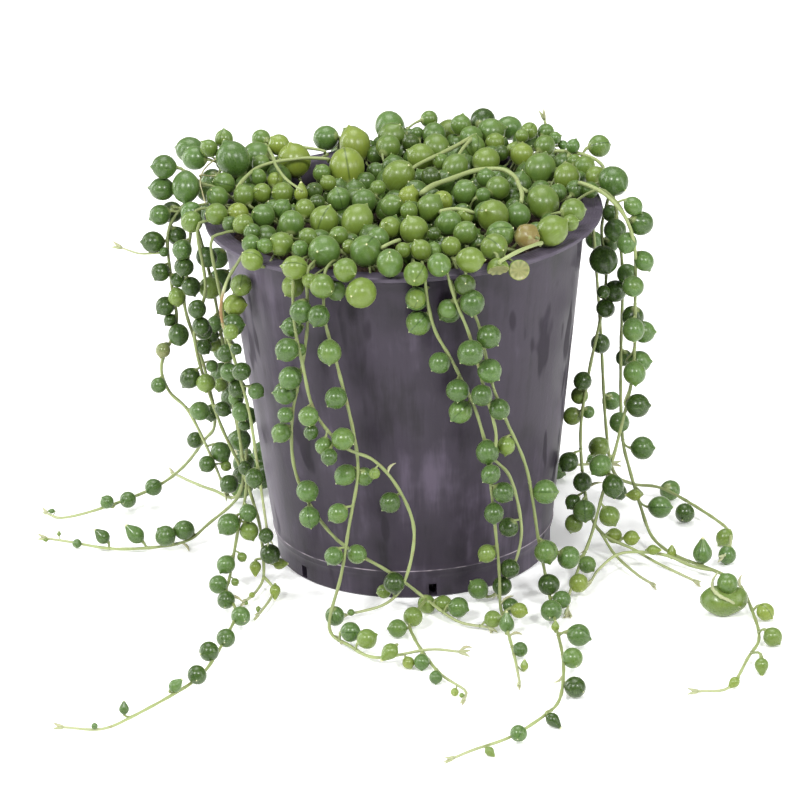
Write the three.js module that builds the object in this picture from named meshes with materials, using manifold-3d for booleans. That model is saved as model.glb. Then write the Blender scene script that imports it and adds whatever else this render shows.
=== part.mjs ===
// Potted string of pearls: a trailing succulent in a plastic nursery pot.
// Millimetres, +Z up. The origin is the middle of the pot's base, on the surface it stands on.
// -Y is the front. Azimuths are in degrees about Z, from +X towards +Y.
import * as THREE from "three";
import { mergeVertices } from "three/addons/utils/BufferGeometryUtils.js";
import Module from "manifold-3d";

// Pot
const POT_HEIGHT = 109.5;
const RIM_RADIUS = 60;
const RIM_THICKNESS = 1.5;
const MOUTH_RADIUS = 54;
const WALL_TOP_RADIUS = 55.1;
const BASE_RADIUS = 42;
const FLOOR_THICKNESS = 2;
const FOOT_HEIGHT = 7;
const FOOT_STEP = 0.5;
const POT_SIDES = 44;
const DRAIN = { count: 6, firstDeg: -83, width: 5, height: 4.5, depth: 9 };

// Soil
const SOIL_TOP = 99;
const SOIL_CROWN = 1.2;
const SOIL_GAP = 0.35;
const SOIL_SIDES = 20;
const SOIL_RINGS = [40, 20, 0];
const SOIL_LUMPS = { height: 0.5, across: 0.31, along: 0.27 };
const HOLE_RADIUS = 1.45;
const HOLE_DEPTH = 7;

// Plant
const SEED = 20817;
const CLEARANCE = 0.3;
const STEM_RADIUS = 1;
const STEM_SIDES = 3;
const STEM_STEP = 12;
const STEM_BOW = 0.8;
const STEM_LONGEST = 30;
const ROOT_RADIUS = 47;
const TIP_TAPER = 0.5;
const PEARL_TIP = 1.22;
const PEARL_SINK = 0.35;
const LYING_HEIGHT = 8;
const LEAST_RISE = 0.05;
const TRAIL_OVERLAP = 1.5;
const TRAIL_PEARL = { small: 3.8, large: 4.5, bud: 2.3, budReach: 30 };
const TRAIL_SPACING = { rim: 12, stem: 20, start: 24, rimLength: 50, forkStart: 9, end: 4 };
const FORK_IDS = 50;
const SEAT = { spreadDeg: 75, sideDeg: 70, turnsDeg: [0, 35, -35, 70, -70, 110, -110, 150] };
const MAT_PEARL = { small: 4.9, large: 6.7, rarity: 1.6 };
const MAT = {
  drawId: 90, count: 124, radius: 62, midHeight: 117, edgeDrop: 2, jitter: 2.4, flangeRise: 0.5,
  rises: [0, 2, 4, -2, 6], ownOverlap: 1.6,
};
const CLUMP = {
  firstId: 100, count: 6, turnDeg: 20, ringRadius: 29,
  coreRadius: 11, coreHeight: 4.6, coreMiddle: 105.4,
};
const GOLDEN_ANGLE = Math.PI * (3 - Math.sqrt(5));

const [POT_ROUGHNESS, SOIL_ROUGHNESS, PEARL_ROUGHNESS] = [0.45, 0.95, 0.4];
const COLOURS = {
  pot: 0x5a545f,
  soil: 0x3a2d24,
  mat: 0x5f8236,
  left: 0x456b2d,
  front: 0x5c8a4d,
  right: 0x6a9150,
  back: 0x4c7334,
};

// Each trailing stem stands in the soil, crosses the rim at its azimuth, raised by lift, and
// then follows its route of [x, y, z] points down to the surface and out over it.
// A fork starts at its first point, which is a point of the main route.
const TRAILS = [
  { name: "trail_left_1", colour: "left", azimuth: 173, lift: 4,
    route: [[-71, 5, 104], [-71, 0, 90], [-70, 0, 75], [-75, -3, 63], [-73, -5, 55], [-67, -8, 49],
      [-60, -15, 35], [-57, -18, 27]] },
  { name: "trail_left_2", colour: "left", azimuth: 185, lift: 1,
    route: [[-66, -4, 92], [-67, -3, 81], [-62, 1, 59], [-60, 6, 40], [-64, 13, 31], [-72, 30, 15],
      [-82, 38, 5], [-98, 28, 3], [-110, 25, 1.5], [-115, 29, 1.5]] },
  { name: "trail_left_3", colour: "left", azimuth: 178.5, lift: 0,
    route: [[-61, 2, 99], [-58, 2, 82], [-55, -2, 58], [-52, -4, 33], [-53, -4, 20], [-63, 2, 8],
      [-72, 0, 2.5], [-91, -1, 1.5], [-107, 6, 1.5], [-114, 8, 2]] },
  { name: "trail_left_4", colour: "left", azimuth: 193, lift: 0,
    route: [[-60, -16, 92], [-64, -16, 76], [-58, -20, 52], [-51, -24, 35], [-47, -28, 22],
      [-46, -29, 13], [-46, -31, 4], [-48, -37, 2], [-51, -44, 2]],
    forks: [[[-46, -31, 4], [-43, -37, 2.5], [-44, -44, 2], [-47, -54, 2]]] },
  { name: "trail_left_5", colour: "left", azimuth: 205, lift: 0,
    route: [[-55, -28, 93], [-54, -28, 78], [-51, -29, 45], [-50, -30, 33], [-53, -32, 20], [-56, -34, 6],
      [-57, -42, 4], [-54, -55, 4], [-55, -67, 4], [-61, -94, 4], [-67, -105, 3], [-82, -122, 2],
      [-91, -129, 1.5], [-102, -127, 1.5]] },
  { name: "trail_left_6", colour: "left", azimuth: 220, lift: 0,
    route: [[-53, -36, 101], [-55, -35, 91], [-52, -37, 79], [-48, -39, 62], [-46, -39, 43],
      [-44, -35, 19]] },
  { name: "trail_front_1", colour: "front", azimuth: 239, lift: 0,
    route: [[-33, -56, 96], [-31, -58, 83], [-28, -60, 69], [-20, -63, 59], [-11, -63, 54], [-4, -62, 44],
      [0, -60, 30], [-3, -59, 14], [-9, -54, 4], [-21, -57, 2]] },
  { name: "trail_front_2", colour: "front", azimuth: 243, lift: 0,
    route: [[-29, -55, 96], [-31, -53, 82], [-35, -50, 62], [-34, -49, 43], [-24, -53, 26], [-9, -56, 16],
      [-3, -53, 10], [3, -54, 5], [12, -64, 2], [21, -68, 1.5]],
    forks: [[[3, -54, 5], [-2, -65, 3], [-1, -76, 2.5], [3, -90, 1.5], [7, -101, 1.5], [13, -111, 1.5],
      [13, -116, 1.5]]] },
  { name: "trail_front_3", colour: "front", azimuth: 248, lift: 0,
    route: [[-24, -58, 97], [-21, -58, 83], [-17, -60, 63], [-16, -60, 49], [-19, -60, 33], [-22, -61, 17],
      [-26, -70, 4], [-20, -79, 2], [-12, -89, 2.5], [3, -90, 5], [12, -90, 4]] },
  { name: "trail_front_4", colour: "front", azimuth: 275, lift: 0,
    route: [[6, -61, 103], [8, -60, 93], [13, -58, 82], [19, -57, 67], [23, -55, 52], [29, -53, 43],
      [32, -50, 26], [30, -49, 14], [25, -47, 4]] },
  { name: "trail_front_5", colour: "front", azimuth: 281, lift: 1,
    route: [[14, -64, 104], [18, -63, 92], [22, -61, 74], [25, -59, 59], [23, -60, 49], [24, -57, 30],
      [25, -53, 13], [25, -58, 4], [26, -70, 4], [28, -89, 2], [29, -107, 1.5]] },
  { name: "trail_front_6", colour: "front", azimuth: 286, lift: 0,
    route: [[18, -60, 102], [21, -59, 93], [24, -58, 76], [28, -56, 63], [34, -52, 45], [37, -47, 21],
      [39, -46, 8], [40, -54, 4], [41, -75, 4], [42, -100, 4], [40, -122, 3], [35, -133, 3],
      [25, -144, 2], [15, -150, 1.5], [9, -155, 1.5]] },
  { name: "trail_right_1", colour: "right", azimuth: -8, lift: 4,
    route: [[66, -10, 109], [69, -9, 98], [69, -8, 81], [68, -9, 58], [63, -15, 39], [58, -20, 24],
      [54, -25, 12], [50, -32, 5], [46, -49, 3], [45, -58, 2]] },
  { name: "trail_right_2", colour: "right", azimuth: 3, lift: 1,
    route: [[65, 4, 98], [66, 6, 82], [65, 5, 56], [65, 3, 33], [67, 1, 22], [70, -6, 12], [73, -13, 5],
      [79, -25, 4], [90, -35, 3], [97, -46, 3], [100, -68, 2], [100, -84, 2], [96, -96, 2],
      [89, -115, 1.5], [80, -117, 1.5]],
    forks: [[[90, -35, 3], [84, -34, 4], [75, -30, 6.5], [63, -28, 6.5], [56, -33, 4], [53, -40, 3]]] },
  { name: "trail_right_3", colour: "right", azimuth: 9, lift: 0,
    route: [[60, 9, 98], [61, 6, 84], [59, 4, 71], [55, 1, 54], [52, -3, 36], [53, -12, 18], [57, -17, 9],
      [67, -20, 4], [74, -29, 3], [84, -39, 1.5]],
    forks: [[[57, -17, 9], [61, -22, 3.5], [67, -34, 2], [71, -40, 1.5]]] },
  { name: "trail_right_4", colour: "right", azimuth: 25, lift: 0,
    route: [[58, 28, 97], [60, 28, 58], [61, 26, 28], [63, 24, 12], [69, 27, 6], [77, 26, 5], [84, 19, 4],
      [94, 0, 4], [97, -10, 4], [96, -22, 4], [94, -27, 4]] },
];

// Behind the pot each stem has an azimuth, a sway, a reach over the surface and a turn there.
const BACK_TRAILS = [[46, 4, 84, -8], [66, -5, 98, 8], [88, 5, 90, -10], [108, -4, 104, 8],
  [130, 6, 92, -6], [153, -4, 96, -8]];

// A stem behind the pot: it sways by a few degrees on its way down, touches the surface under
// the rim and lies outwards to its reach, turning as it goes.
function backTrail([azimuth, sway, reach, turn], i) {
  const stations = [[63, 0, 97], [62, 1, 76], [61, -0.4, 50], [60, 1, 24], [63, 0.6, 5]];
  const hanging = stations.map(([r, part, z]) => polar(r, azimuth + sway * part, z));
  const [landing, landingPart] = stations.at(-1);
  const lying = [0.35, 0.7, 1].map((t) => {
    return polar(landing + (reach - landing) * t, azimuth + sway * landingPart + turn * t, 4 - 2.4 * t);
  });
  return { name: `trail_back_${i + 1}`, colour: "back", azimuth, lift: i % 3, route: [...hanging, ...lying] };
}

const wasm = await Module();
wasm.setup();

function polar(radius, azimuthDeg, z) {
  const a = THREE.MathUtils.degToRad(azimuthDeg);
  return [radius * Math.cos(a), radius * Math.sin(a), z];
}

function vector([x, y, z]) {
  return new THREE.Vector3(x, y, z);
}

// A repeatable draw from 0 to 1 for one pearl of one stem or clump.
function draw(owner, pearl, kind) {
  let h = (SEED + owner * 7919 + pearl * 104729 + kind * 1299709) >>> 0;
  h = Math.imul(h ^ (h >>> 15), 2246822507) >>> 0;
  h = Math.imul(h ^ (h >>> 13), 3266489909) >>> 0;
  return ((h ^ (h >>> 16)) >>> 0) / 4294967296;
}

function toSolid(geometry) {
  const bare = geometry.clone();
  for (const name of Object.keys(bare.attributes)) {
    if (name !== "position") bare.deleteAttribute(name);
  }
  const merged = mergeVertices(bare, 1e-4);
  return new wasm.Manifold(new wasm.Mesh({
    numProp: 3,
    vertProperties: new Float32Array(merged.attributes.position.array),
    triVerts: new Uint32Array(merged.index.array),
  }));
}

function toGeometry(solid) {
  const { vertProperties, triVerts } = solid.getMesh();
  const geometry = new THREE.BufferGeometry();
  geometry.setAttribute("position", new THREE.BufferAttribute(vertProperties, 3));
  geometry.setIndex(new THREE.BufferAttribute(triVerts, 1));
  geometry.computeVertexNormals();
  return geometry;
}

function lathe(profile, sides) {
  const points = profile.map(([r, z]) => new THREE.Vector2(r, z));
  const geometry = new THREE.LatheGeometry(points, sides);
  geometry.rotateX(Math.PI / 2);
  return toSolid(geometry);
}

// Pot: tapered wall, flat flange, shallow foot step and drain notches through the corner.
function wallRadius(z) {
  return BASE_RADIUS + (WALL_TOP_RADIUS - BASE_RADIUS) * z / POT_HEIGHT;
}

function innerRadius(z) {
  return MOUTH_RADIUS + wallRadius(z) - WALL_TOP_RADIUS;
}

function potProfile() {
  const underRim = POT_HEIGHT - RIM_THICKNESS;
  return [
    [0, 0],
    [wallRadius(0), 0],
    [wallRadius(FOOT_HEIGHT) - FOOT_STEP, FOOT_HEIGHT],
    [wallRadius(FOOT_HEIGHT), FOOT_HEIGHT + FOOT_STEP],
    [wallRadius(underRim), underRim],
    [RIM_RADIUS, underRim],
    [RIM_RADIUS, POT_HEIGHT],
    [MOUTH_RADIUS, POT_HEIGHT],
    [innerRadius(FLOOR_THICKNESS), FLOOR_THICKNESS],
    [0, FLOOR_THICKNESS],
  ];
}

function makePot() {
  const pot = lathe(potProfile(), POT_SIDES);
  const notches = [];
  for (let i = 0; i < DRAIN.count; i += 1) {
    const notch = new THREE.BoxGeometry(DRAIN.depth, DRAIN.width, DRAIN.height * 2);
    notch.translate(BASE_RADIUS - 1, 0, 0);
    notch.rotateZ(THREE.MathUtils.degToRad(DRAIN.firstDeg + i * 360 / DRAIN.count));
    notches.push(toSolid(notch));
  }
  return pot.subtract(wasm.Manifold.union(notches));
}

// Soil: a plug that fills the pot, crowned and lumpy on top, with a plain hole for each stem.
function makeSoil(holes) {
  const bottom = FLOOR_THICKNESS + SOIL_GAP;
  const edge = innerRadius(SOIL_TOP) - SOIL_GAP;
  const profile = [
    [0, bottom],
    [innerRadius(bottom) - SOIL_GAP, bottom],
    [edge, SOIL_TOP],
    ...SOIL_RINGS.map((r) => [r, SOIL_TOP + SOIL_CROWN * (1 - r / edge)]),
  ];
  const points = profile.map(([r, z]) => new THREE.Vector2(r, z));
  const geometry = new THREE.LatheGeometry(points, SOIL_SIDES);
  geometry.rotateX(Math.PI / 2);
  const at = geometry.attributes.position;
  for (let i = 0; i < at.count; i += 1) {
    const [x, y, z] = [at.getX(i), at.getY(i), at.getZ(i)];
    const lump = SOIL_LUMPS.height * Math.sin(SOIL_LUMPS.across * x + 1) * Math.cos(SOIL_LUMPS.along * y);
    if (z > SOIL_TOP + 1e-3) at.setZ(i, z + lump);
  }
  const bores = holes.map(([x, y]) => {
    const bore = new THREE.CylinderGeometry(HOLE_RADIUS, HOLE_RADIUS, HOLE_DEPTH * 2, 5);
    bore.rotateX(Math.PI / 2);
    bore.translate(x, y, SOIL_TOP);
    return toSolid(bore);
  });
  return toSolid(geometry).subtract(wasm.Manifold.union(bores));
}

// A closed tube through the points, narrowing over its last point, with its frame carried along.
function tube(points, radius, endRadius = radius) {
  const normal = new THREE.Vector3();
  const last = points.length - 1;
  const rings = points.map((point, i) => {
    const along = points[Math.min(i + 1, last)].clone().sub(points[Math.max(i - 1, 0)]).normalize();
    if (i === 0) normal.set(along.z, along.x, along.y).cross(along);
    normal.addScaledVector(along, -normal.dot(along)).normalize();
    const side = new THREE.Vector3().crossVectors(along, normal);
    const r = i === last ? endRadius : radius;
    return Array.from({ length: STEM_SIDES }, (_, k) => {
      const a = 2 * Math.PI * k / STEM_SIDES;
      return point.clone().addScaledVector(normal, r * Math.cos(a)).addScaledVector(side, r * Math.sin(a));
    });
  });
  const index = [];
  for (let i = 0; i < last; i += 1) {
    for (let k = 0; k < STEM_SIDES; k += 1) {
      const [a, b] = [i * STEM_SIDES + k, i * STEM_SIDES + (k + 1) % STEM_SIDES];
      index.push(a, b, a + STEM_SIDES, b, b + STEM_SIDES, a + STEM_SIDES);
    }
  }
  for (let k = 1; k + 1 < STEM_SIDES; k += 1) {
    const end = last * STEM_SIDES;
    index.push(0, k + 1, k, end, end + k, end + k + 1);
  }
  const geometry = new THREE.BufferGeometry().setFromPoints(rings.flat());
  geometry.setIndex(index);
  return toSolid(geometry);
}

// A pearl: a twenty-faced ball whose tip stands out away from its stem.
function pearlSolid({ centre, radius, tip }) {
  const geometry = mergeVertices(barePositions(new THREE.IcosahedronGeometry(radius, 0)), 1e-4);
  const at = geometry.attributes.position;
  const pole = new THREE.Vector3().fromBufferAttribute(at, 0).normalize();
  at.setXYZ(0, ...pole.clone().multiplyScalar(radius * PEARL_TIP).toArray());
  geometry.applyQuaternion(new THREE.Quaternion().setFromUnitVectors(pole, tip));
  geometry.translate(centre.x, centre.y, centre.z);
  return toSolid(geometry);
}

function barePositions(geometry) {
  geometry.deleteAttribute("normal");
  geometry.deleteAttribute("uv");
  return geometry;
}

// Stems: smooth curves through the route, cut into short straight steps.
function smooth(points) {
  const curve = new THREE.CatmullRomCurve3(points, false, "catmullrom", 0.5);
  const spans = points.length - 1;
  const steps = [points[0]];
  for (let i = 0; i < spans; i += 1) {
    const pieces = Math.max(1, Math.round(points[i].distanceTo(points[i + 1]) / STEM_STEP));
    for (let k = 1; k <= pieces; k += 1) steps.push(curve.getPoint((i + k / pieces) / spans));
  }
  return straighten(steps);
}

// Leaves out the points that the line between their neighbours nearly passes through.
function straighten(points) {
  const kept = [points[0]];
  for (let i = 1; i + 1 < points.length; i += 1) {
    const line = new THREE.Line3(kept.at(-1), points[i + 1]);
    const bow = line.closestPointToPoint(points[i], true, new THREE.Vector3()).distanceTo(points[i]);
    if (bow > STEM_BOW || line.distance() > STEM_LONGEST) kept.push(points[i]);
  }
  return [...kept, points.at(-1)];
}

function rimCrossing(azimuth, lift) {
  return [
    polar(ROOT_RADIUS, azimuth, SOIL_TOP - HOLE_DEPTH + CLEARANCE),
    polar(ROOT_RADIUS, azimuth, SOIL_TOP + 3),
    polar(ROOT_RADIUS + 3, azimuth, POT_HEIGHT - 1 + lift / 3),
    polar(MOUTH_RADIUS, azimuth, POT_HEIGHT + 2.7 + lift / 2),
    polar(RIM_RADIUS - 0.5, azimuth, POT_HEIGHT + 3.2 + lift),
    polar(RIM_RADIUS + 3.3, azimuth, POT_HEIGHT + 0.5 + lift),
  ].map(vector);
}

function layTrail(trail) {
  const start = rimCrossing(trail.azimuth, trail.lift);
  const main = smooth([...start, ...trail.route.map(vector)]);
  const forks = (trail.forks ?? []).map((fork) => smooth(fork.map(vector)));
  return { ...trail, stems: [main, ...forks] };
}

// Space that is taken: balls and straight stem pieces, each with its owner.
const taken = [];

function takeStem(owner, points) {
  for (let i = 0; i + 1 < points.length; i += 1) {
    taken.push({ owner, line: new THREE.Line3(points[i], points[i + 1]), radius: STEM_RADIUS });
  }
}

function takePearl(owner, pearl) {
  taken.push({ owner, line: new THREE.Line3(pearl.centre, pearl.centre), radius: pearl.radius });
  const tipEnd = pearl.centre.clone().addScaledVector(pearl.tip, pearl.radius * PEARL_TIP);
  taken.push({ owner, line: new THREE.Line3(pearl.centre, tipEnd), radius: 0.1 });
}

function lineGap(a, b) {
  const [p, q] = [new THREE.Vector3(), new THREE.Vector3()];
  let gap = Infinity;
  for (const t of [0, 0.25, 0.5, 0.75, 1]) {
    a.at(t, p);
    gap = Math.min(gap, p.distanceTo(b.closestPointToPoint(p, true, q)));
    b.at(t, p);
    gap = Math.min(gap, p.distanceTo(a.closestPointToPoint(p, true, q)));
  }
  return gap;
}

// Whether a ball or stem piece stays clear of what the others hold, and a ball also of its own kin.
function isClear(owner, line, radius, ownOverlap) {
  return taken.every((other) => {
    const isKin = other.owner === owner;
    if (isKin && (ownOverlap === null || other.radius < STEM_RADIUS + 0.1)) return true;
    const room = isKin ? -ownOverlap : CLEARANCE;
    return lineGap(line, other.line) >= radius + other.radius + room;
  });
}

// How far a point is from the pot's wall and rim.
const potCorners = potProfile().map(([r, z]) => new THREE.Vector3(r, 0, z));
const potEdges = potCorners.slice(1).map((corner, i) => new THREE.Line3(potCorners[i], corner));

function potGap(point) {
  const at = new THREE.Vector3(Math.hypot(point.x, point.y), 0, point.z);
  const nearest = new THREE.Vector3();
  return Math.min(...potEdges.map((edge) => edge.closestPointToPoint(at, true, nearest).distanceTo(at)));
}

function clearsPot({ centre, radius }) {
  const isInside = Math.hypot(centre.x, centre.y) < MOUTH_RADIUS;
  const lowest = isInside ? SOIL_TOP + SOIL_CROWN + 1 : LEAST_RISE;
  return centre.z - radius >= lowest && potGap(centre) >= radius + CLEARANCE;
}

// Pearls along a stem, turned round it by a draw, small and pointed towards the growing tip.
function growPearls(trail, owner) {
  const pearls = [];
  trail.stems.forEach((points, branch) => {
    const curve = new THREE.CurvePath();
    for (let i = 0; i + 1 < points.length; i += 1) {
      curve.add(new THREE.LineCurve3(points[i], points[i + 1]));
    }
    const length = curve.getLength();
    let s = branch ? TRAIL_SPACING.forkStart : TRAIL_SPACING.start;
    for (let n = 0; s <= length - TRAIL_SPACING.end; n += 1) {
      const id = n + branch * FORK_IDS;
      const point = curve.getPointAt(s / length);
      const along = curve.getTangentAt(s / length);
      const nearTip = Math.min((length - s) / TRAIL_PEARL.budReach, 1);
      const grown = TRAIL_PEARL.small + (TRAIL_PEARL.large - TRAIL_PEARL.small) * draw(owner, id, 1);
      const radius = TRAIL_PEARL.bud + (grown - TRAIL_PEARL.bud) * nearTip;
      const pearl = seatPearl(owner, id, point, along, radius);
      if (pearl) pearls.push(pearl);
      const isOnRim = !branch && s < TRAIL_SPACING.rimLength;
      s += isOnRim ? TRAIL_SPACING.rim : TRAIL_SPACING.stem;
    }
  });
  return pearls;
}

// The first of a few turns round the stem at which the pearl is clear, or null.
function seatPearl(owner, id, point, along, radius) {
  const isUpper = point.z < LYING_HEIGHT || point.z > POT_HEIGHT + 1;
  const up = isUpper ? new THREE.Vector3(0, 0, 1) : new THREE.Vector3(point.x, point.y, 0).normalize();
  const side = new THREE.Vector3().crossVectors(along, up).normalize();
  const sideOf = id % 2 ? 1 : -1;
  const first = (draw(owner, id, 2) * 2 - 1) * SEAT.spreadDeg + sideOf * SEAT.sideDeg;
  for (const turn of SEAT.turnsDeg) {
    const a = THREE.MathUtils.degToRad(first + turn);
    const tip = up.clone().multiplyScalar(Math.cos(a)).addScaledVector(side, Math.sin(a)).normalize();
    const centre = point.clone().addScaledVector(tip, radius - PEARL_SINK);
    if (centre.z < radius + 2 * LEAST_RISE) {
      centre.z = radius + 2 * LEAST_RISE;
      tip.copy(centre).sub(point).normalize();
      centre.copy(point).addScaledVector(tip, radius - PEARL_SINK);
      centre.z = Math.max(centre.z, radius + LEAST_RISE);
    }
    const tipEnd = centre.z + tip.z * radius * PEARL_TIP;
    const pearl = { centre, radius, tip };
    const ball = new THREE.Line3(centre, centre);
    if (tipEnd > LEAST_RISE && clearsPot(pearl) && isClear(owner, ball, radius, TRAIL_OVERLAP)) {
      takePearl(owner, pearl);
      return pearl;
    }
  }
  return null;
}

function makeTrail(trail, pearls) {
  const stems = trail.stems.map((points) => tube(points, STEM_RADIUS, TIP_TAPER));
  return wasm.Manifold.union([...stems, ...pearls.map(pearlSolid)]);
}

// The mat over the soil: creeping clumps, each a small tangled core on a rooted stem, with
// pearls on side stems standing out of it. Pearls lie in a spiral of even spacing.
function clumpCentres() {
  const centres = [new THREE.Vector3(0, 0, CLUMP.coreMiddle)];
  for (let i = 0; i < CLUMP.count; i += 1) {
    const azimuth = CLUMP.turnDeg + i * 360 / CLUMP.count;
    centres.push(vector(polar(CLUMP.ringRadius, azimuth, CLUMP.coreMiddle)));
  }
  return centres;
}

function matPearl(k, rise) {
  const out = MAT.radius * Math.sqrt((k + 0.5) / MAT.count);
  const azimuth = k * GOLDEN_ANGLE;
  const grown = draw(MAT.drawId, k, 1) ** MAT_PEARL.rarity;
  const radius = MAT_PEARL.small + (MAT_PEARL.large - MAT_PEARL.small) * grown;
  const fall = MAT.edgeDrop * (out / MAT.radius) ** 2;
  const level = MAT.midHeight - fall + MAT.jitter * (draw(MAT.drawId, k, 2) * 2 - 1);
  const lowest = out + radius > MOUTH_RADIUS ? POT_HEIGHT + radius + MAT.flangeRise : 0;
  const z = Math.max(level, lowest) + rise;
  const centre = new THREE.Vector3(out * Math.cos(azimuth), out * Math.sin(azimuth), z);
  const lean = 2 * Math.PI * draw(MAT.drawId, k, 3);
  const rising = 0.5 + draw(MAT.drawId, k, 4);
  const tip = new THREE.Vector3(Math.cos(lean), Math.sin(lean), rising).normalize();
  return { centre, radius, tip };
}

// The nearest of a clump's own pieces, which a new pearl's stem comes from.
function nearestKin(clump, pearl) {
  const gapTo = (kin) => kin.centre.distanceTo(pearl.centre) - kin.radius;
  return clump.kin.reduce((best, each) => (gapTo(each) < gapTo(best) ? each : best));
}

function fitsMat(clump, pearl) {
  const ball = new THREE.Line3(pearl.centre, pearl.centre);
  const stem = new THREE.Line3(nearestKin(clump, pearl).centre, pearl.centre);
  return clearsPot(pearl) && isClear(clump.owner, ball, pearl.radius, MAT.ownOverlap)
    && isClear(clump.owner, stem, STEM_RADIUS, null);
}

function makeClumps() {
  const centres = clumpCentres();
  const clumps = centres.map((centre, i) => {
    const foot = new THREE.Vector3(centre.x, centre.y, SOIL_TOP - HOLE_DEPTH + CLEARANCE);
    const core = barePositions(new THREE.IcosahedronGeometry(1, 0));
    core.scale(CLUMP.coreRadius, CLUMP.coreRadius, CLUMP.coreHeight);
    core.rotateZ(i);
    core.translate(centre.x, centre.y, centre.z);
    const kin = [{ centre, radius: CLUMP.coreHeight }];
    const parts = [tube([foot, centre], STEM_RADIUS), toSolid(core)];
    return { owner: CLUMP.firstId + i, centre, kin, parts };
  });
  for (let k = 0; k < MAT.count; k += 1) {
    const { x, y } = matPearl(k, 0).centre;
    const gapTo = ({ centre }) => Math.hypot(centre.x - x, centre.y - y);
    const clump = clumps.reduce((best, each) => (gapTo(each) < gapTo(best) ? each : best));
    const pearl = MAT.rises.map((rise) => matPearl(k, rise)).find((each) => fitsMat(clump, each));
    if (!pearl) continue;
    const stem = [nearestKin(clump, pearl).centre, pearl.centre];
    takePearl(clump.owner, pearl);
    takeStem(clump.owner, stem);
    clump.kin.push(pearl);
    clump.parts.push(tube(stem, STEM_RADIUS), pearlSolid(pearl));
  }
  return clumps;
}

function named(name, solid, colour, roughness) {
  const material = new THREE.MeshStandardMaterial({ color: COLOURS[colour], roughness, metalness: 0 });
  const mesh = new THREE.Mesh(toGeometry(solid), material);
  mesh.name = name;
  return mesh;
}

const trails = [...TRAILS, ...BACK_TRAILS.map(backTrail)].map(layTrail);
trails.forEach((trail, i) => trail.stems.forEach((points) => takeStem(i, points)));
const trailPearls = trails.map(growPearls);
const clumps = makeClumps();
const holes = [
  ...trails.map((trail) => polar(ROOT_RADIUS, trail.azimuth, 0)),
  ...clumps.map(({ centre }) => [centre.x, centre.y, 0]),
];

const plant = new THREE.Group();
trails.forEach((trail, i) => {
  plant.add(named(trail.name, makeTrail(trail, trailPearls[i]), trail.colour, PEARL_ROUGHNESS));
});
clumps.forEach(({ parts }, i) => {
  plant.add(named(`mat_clump_${i + 1}`, wasm.Manifold.union(parts), "mat", PEARL_ROUGHNESS));
});

const potted = new THREE.Group();
potted.name = "potted_string_of_pearls";
potted.add(named("pot", makePot(), "pot", POT_ROUGHNESS));
potted.add(named("soil", makeSoil(holes), "soil", SOIL_ROUGHNESS));
potted.add(plant);

export default potted;
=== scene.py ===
"""Potted string of pearls: plastic nursery pot, soil, a mat of pearls and trailing stems.

Lengths are in millimetres until a mesh is made. +Z is up and -Y is the front.
"""
import math
import random

import bpy
import numpy as np
from mathutils import Matrix, Vector


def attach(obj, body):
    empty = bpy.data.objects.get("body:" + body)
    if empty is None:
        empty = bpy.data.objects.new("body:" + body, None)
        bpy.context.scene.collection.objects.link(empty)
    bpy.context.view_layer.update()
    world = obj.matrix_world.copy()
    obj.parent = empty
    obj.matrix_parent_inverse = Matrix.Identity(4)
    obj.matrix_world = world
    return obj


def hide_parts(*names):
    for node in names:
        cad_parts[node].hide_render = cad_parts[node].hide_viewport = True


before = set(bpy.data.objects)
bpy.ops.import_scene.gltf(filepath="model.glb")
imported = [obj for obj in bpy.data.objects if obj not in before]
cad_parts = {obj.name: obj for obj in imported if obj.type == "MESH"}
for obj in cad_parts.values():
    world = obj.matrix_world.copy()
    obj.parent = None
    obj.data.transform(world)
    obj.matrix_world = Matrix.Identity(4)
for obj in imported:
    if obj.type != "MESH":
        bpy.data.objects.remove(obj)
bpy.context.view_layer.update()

MM = 0.001
SEED = 20817

# Pot and soil, as in the CAD nodes
POT_HEIGHT = 109.5
RIM_RADIUS = 60
RIM_THICKNESS = 1.5
MOUTH_RADIUS = 54
WALL_TOP_RADIUS = 55.1
BASE_RADIUS = 42
FLOOR_THICKNESS = 2
FOOT_HEIGHT = 7
DRAIN = {"count": 6, "first_deg": -83, "height": 4.5}
SOIL_TOP = 99

# Photograph: the camera's place and the frame of its pixels
PHOTO_SIZE = 800
FOCAL_PIXELS = 4906
SENSOR = 36
CAMERA_DISTANCE = 1500
CAMERA_ELEVATION = math.radians(21.87)
CAMERA_ROLL = math.radians(1.87)
TARGET = np.array([-2.9, 0, 47.65])

# Plant
STEM_RADIUS = 0.5
TIP_RADIUS = 0.4
STEM_SIDES = 8
STEM_STEP = 1.5
ROOT_RADIUS = 47
HOLE_DEPTH = 6.7
MAT_RADIUS = 62
MAT_HEIGHT = 117
MAT_EDGE_DROP = 2
GOLDEN_ANGLE = math.pi * (3 - math.sqrt(5))

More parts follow.
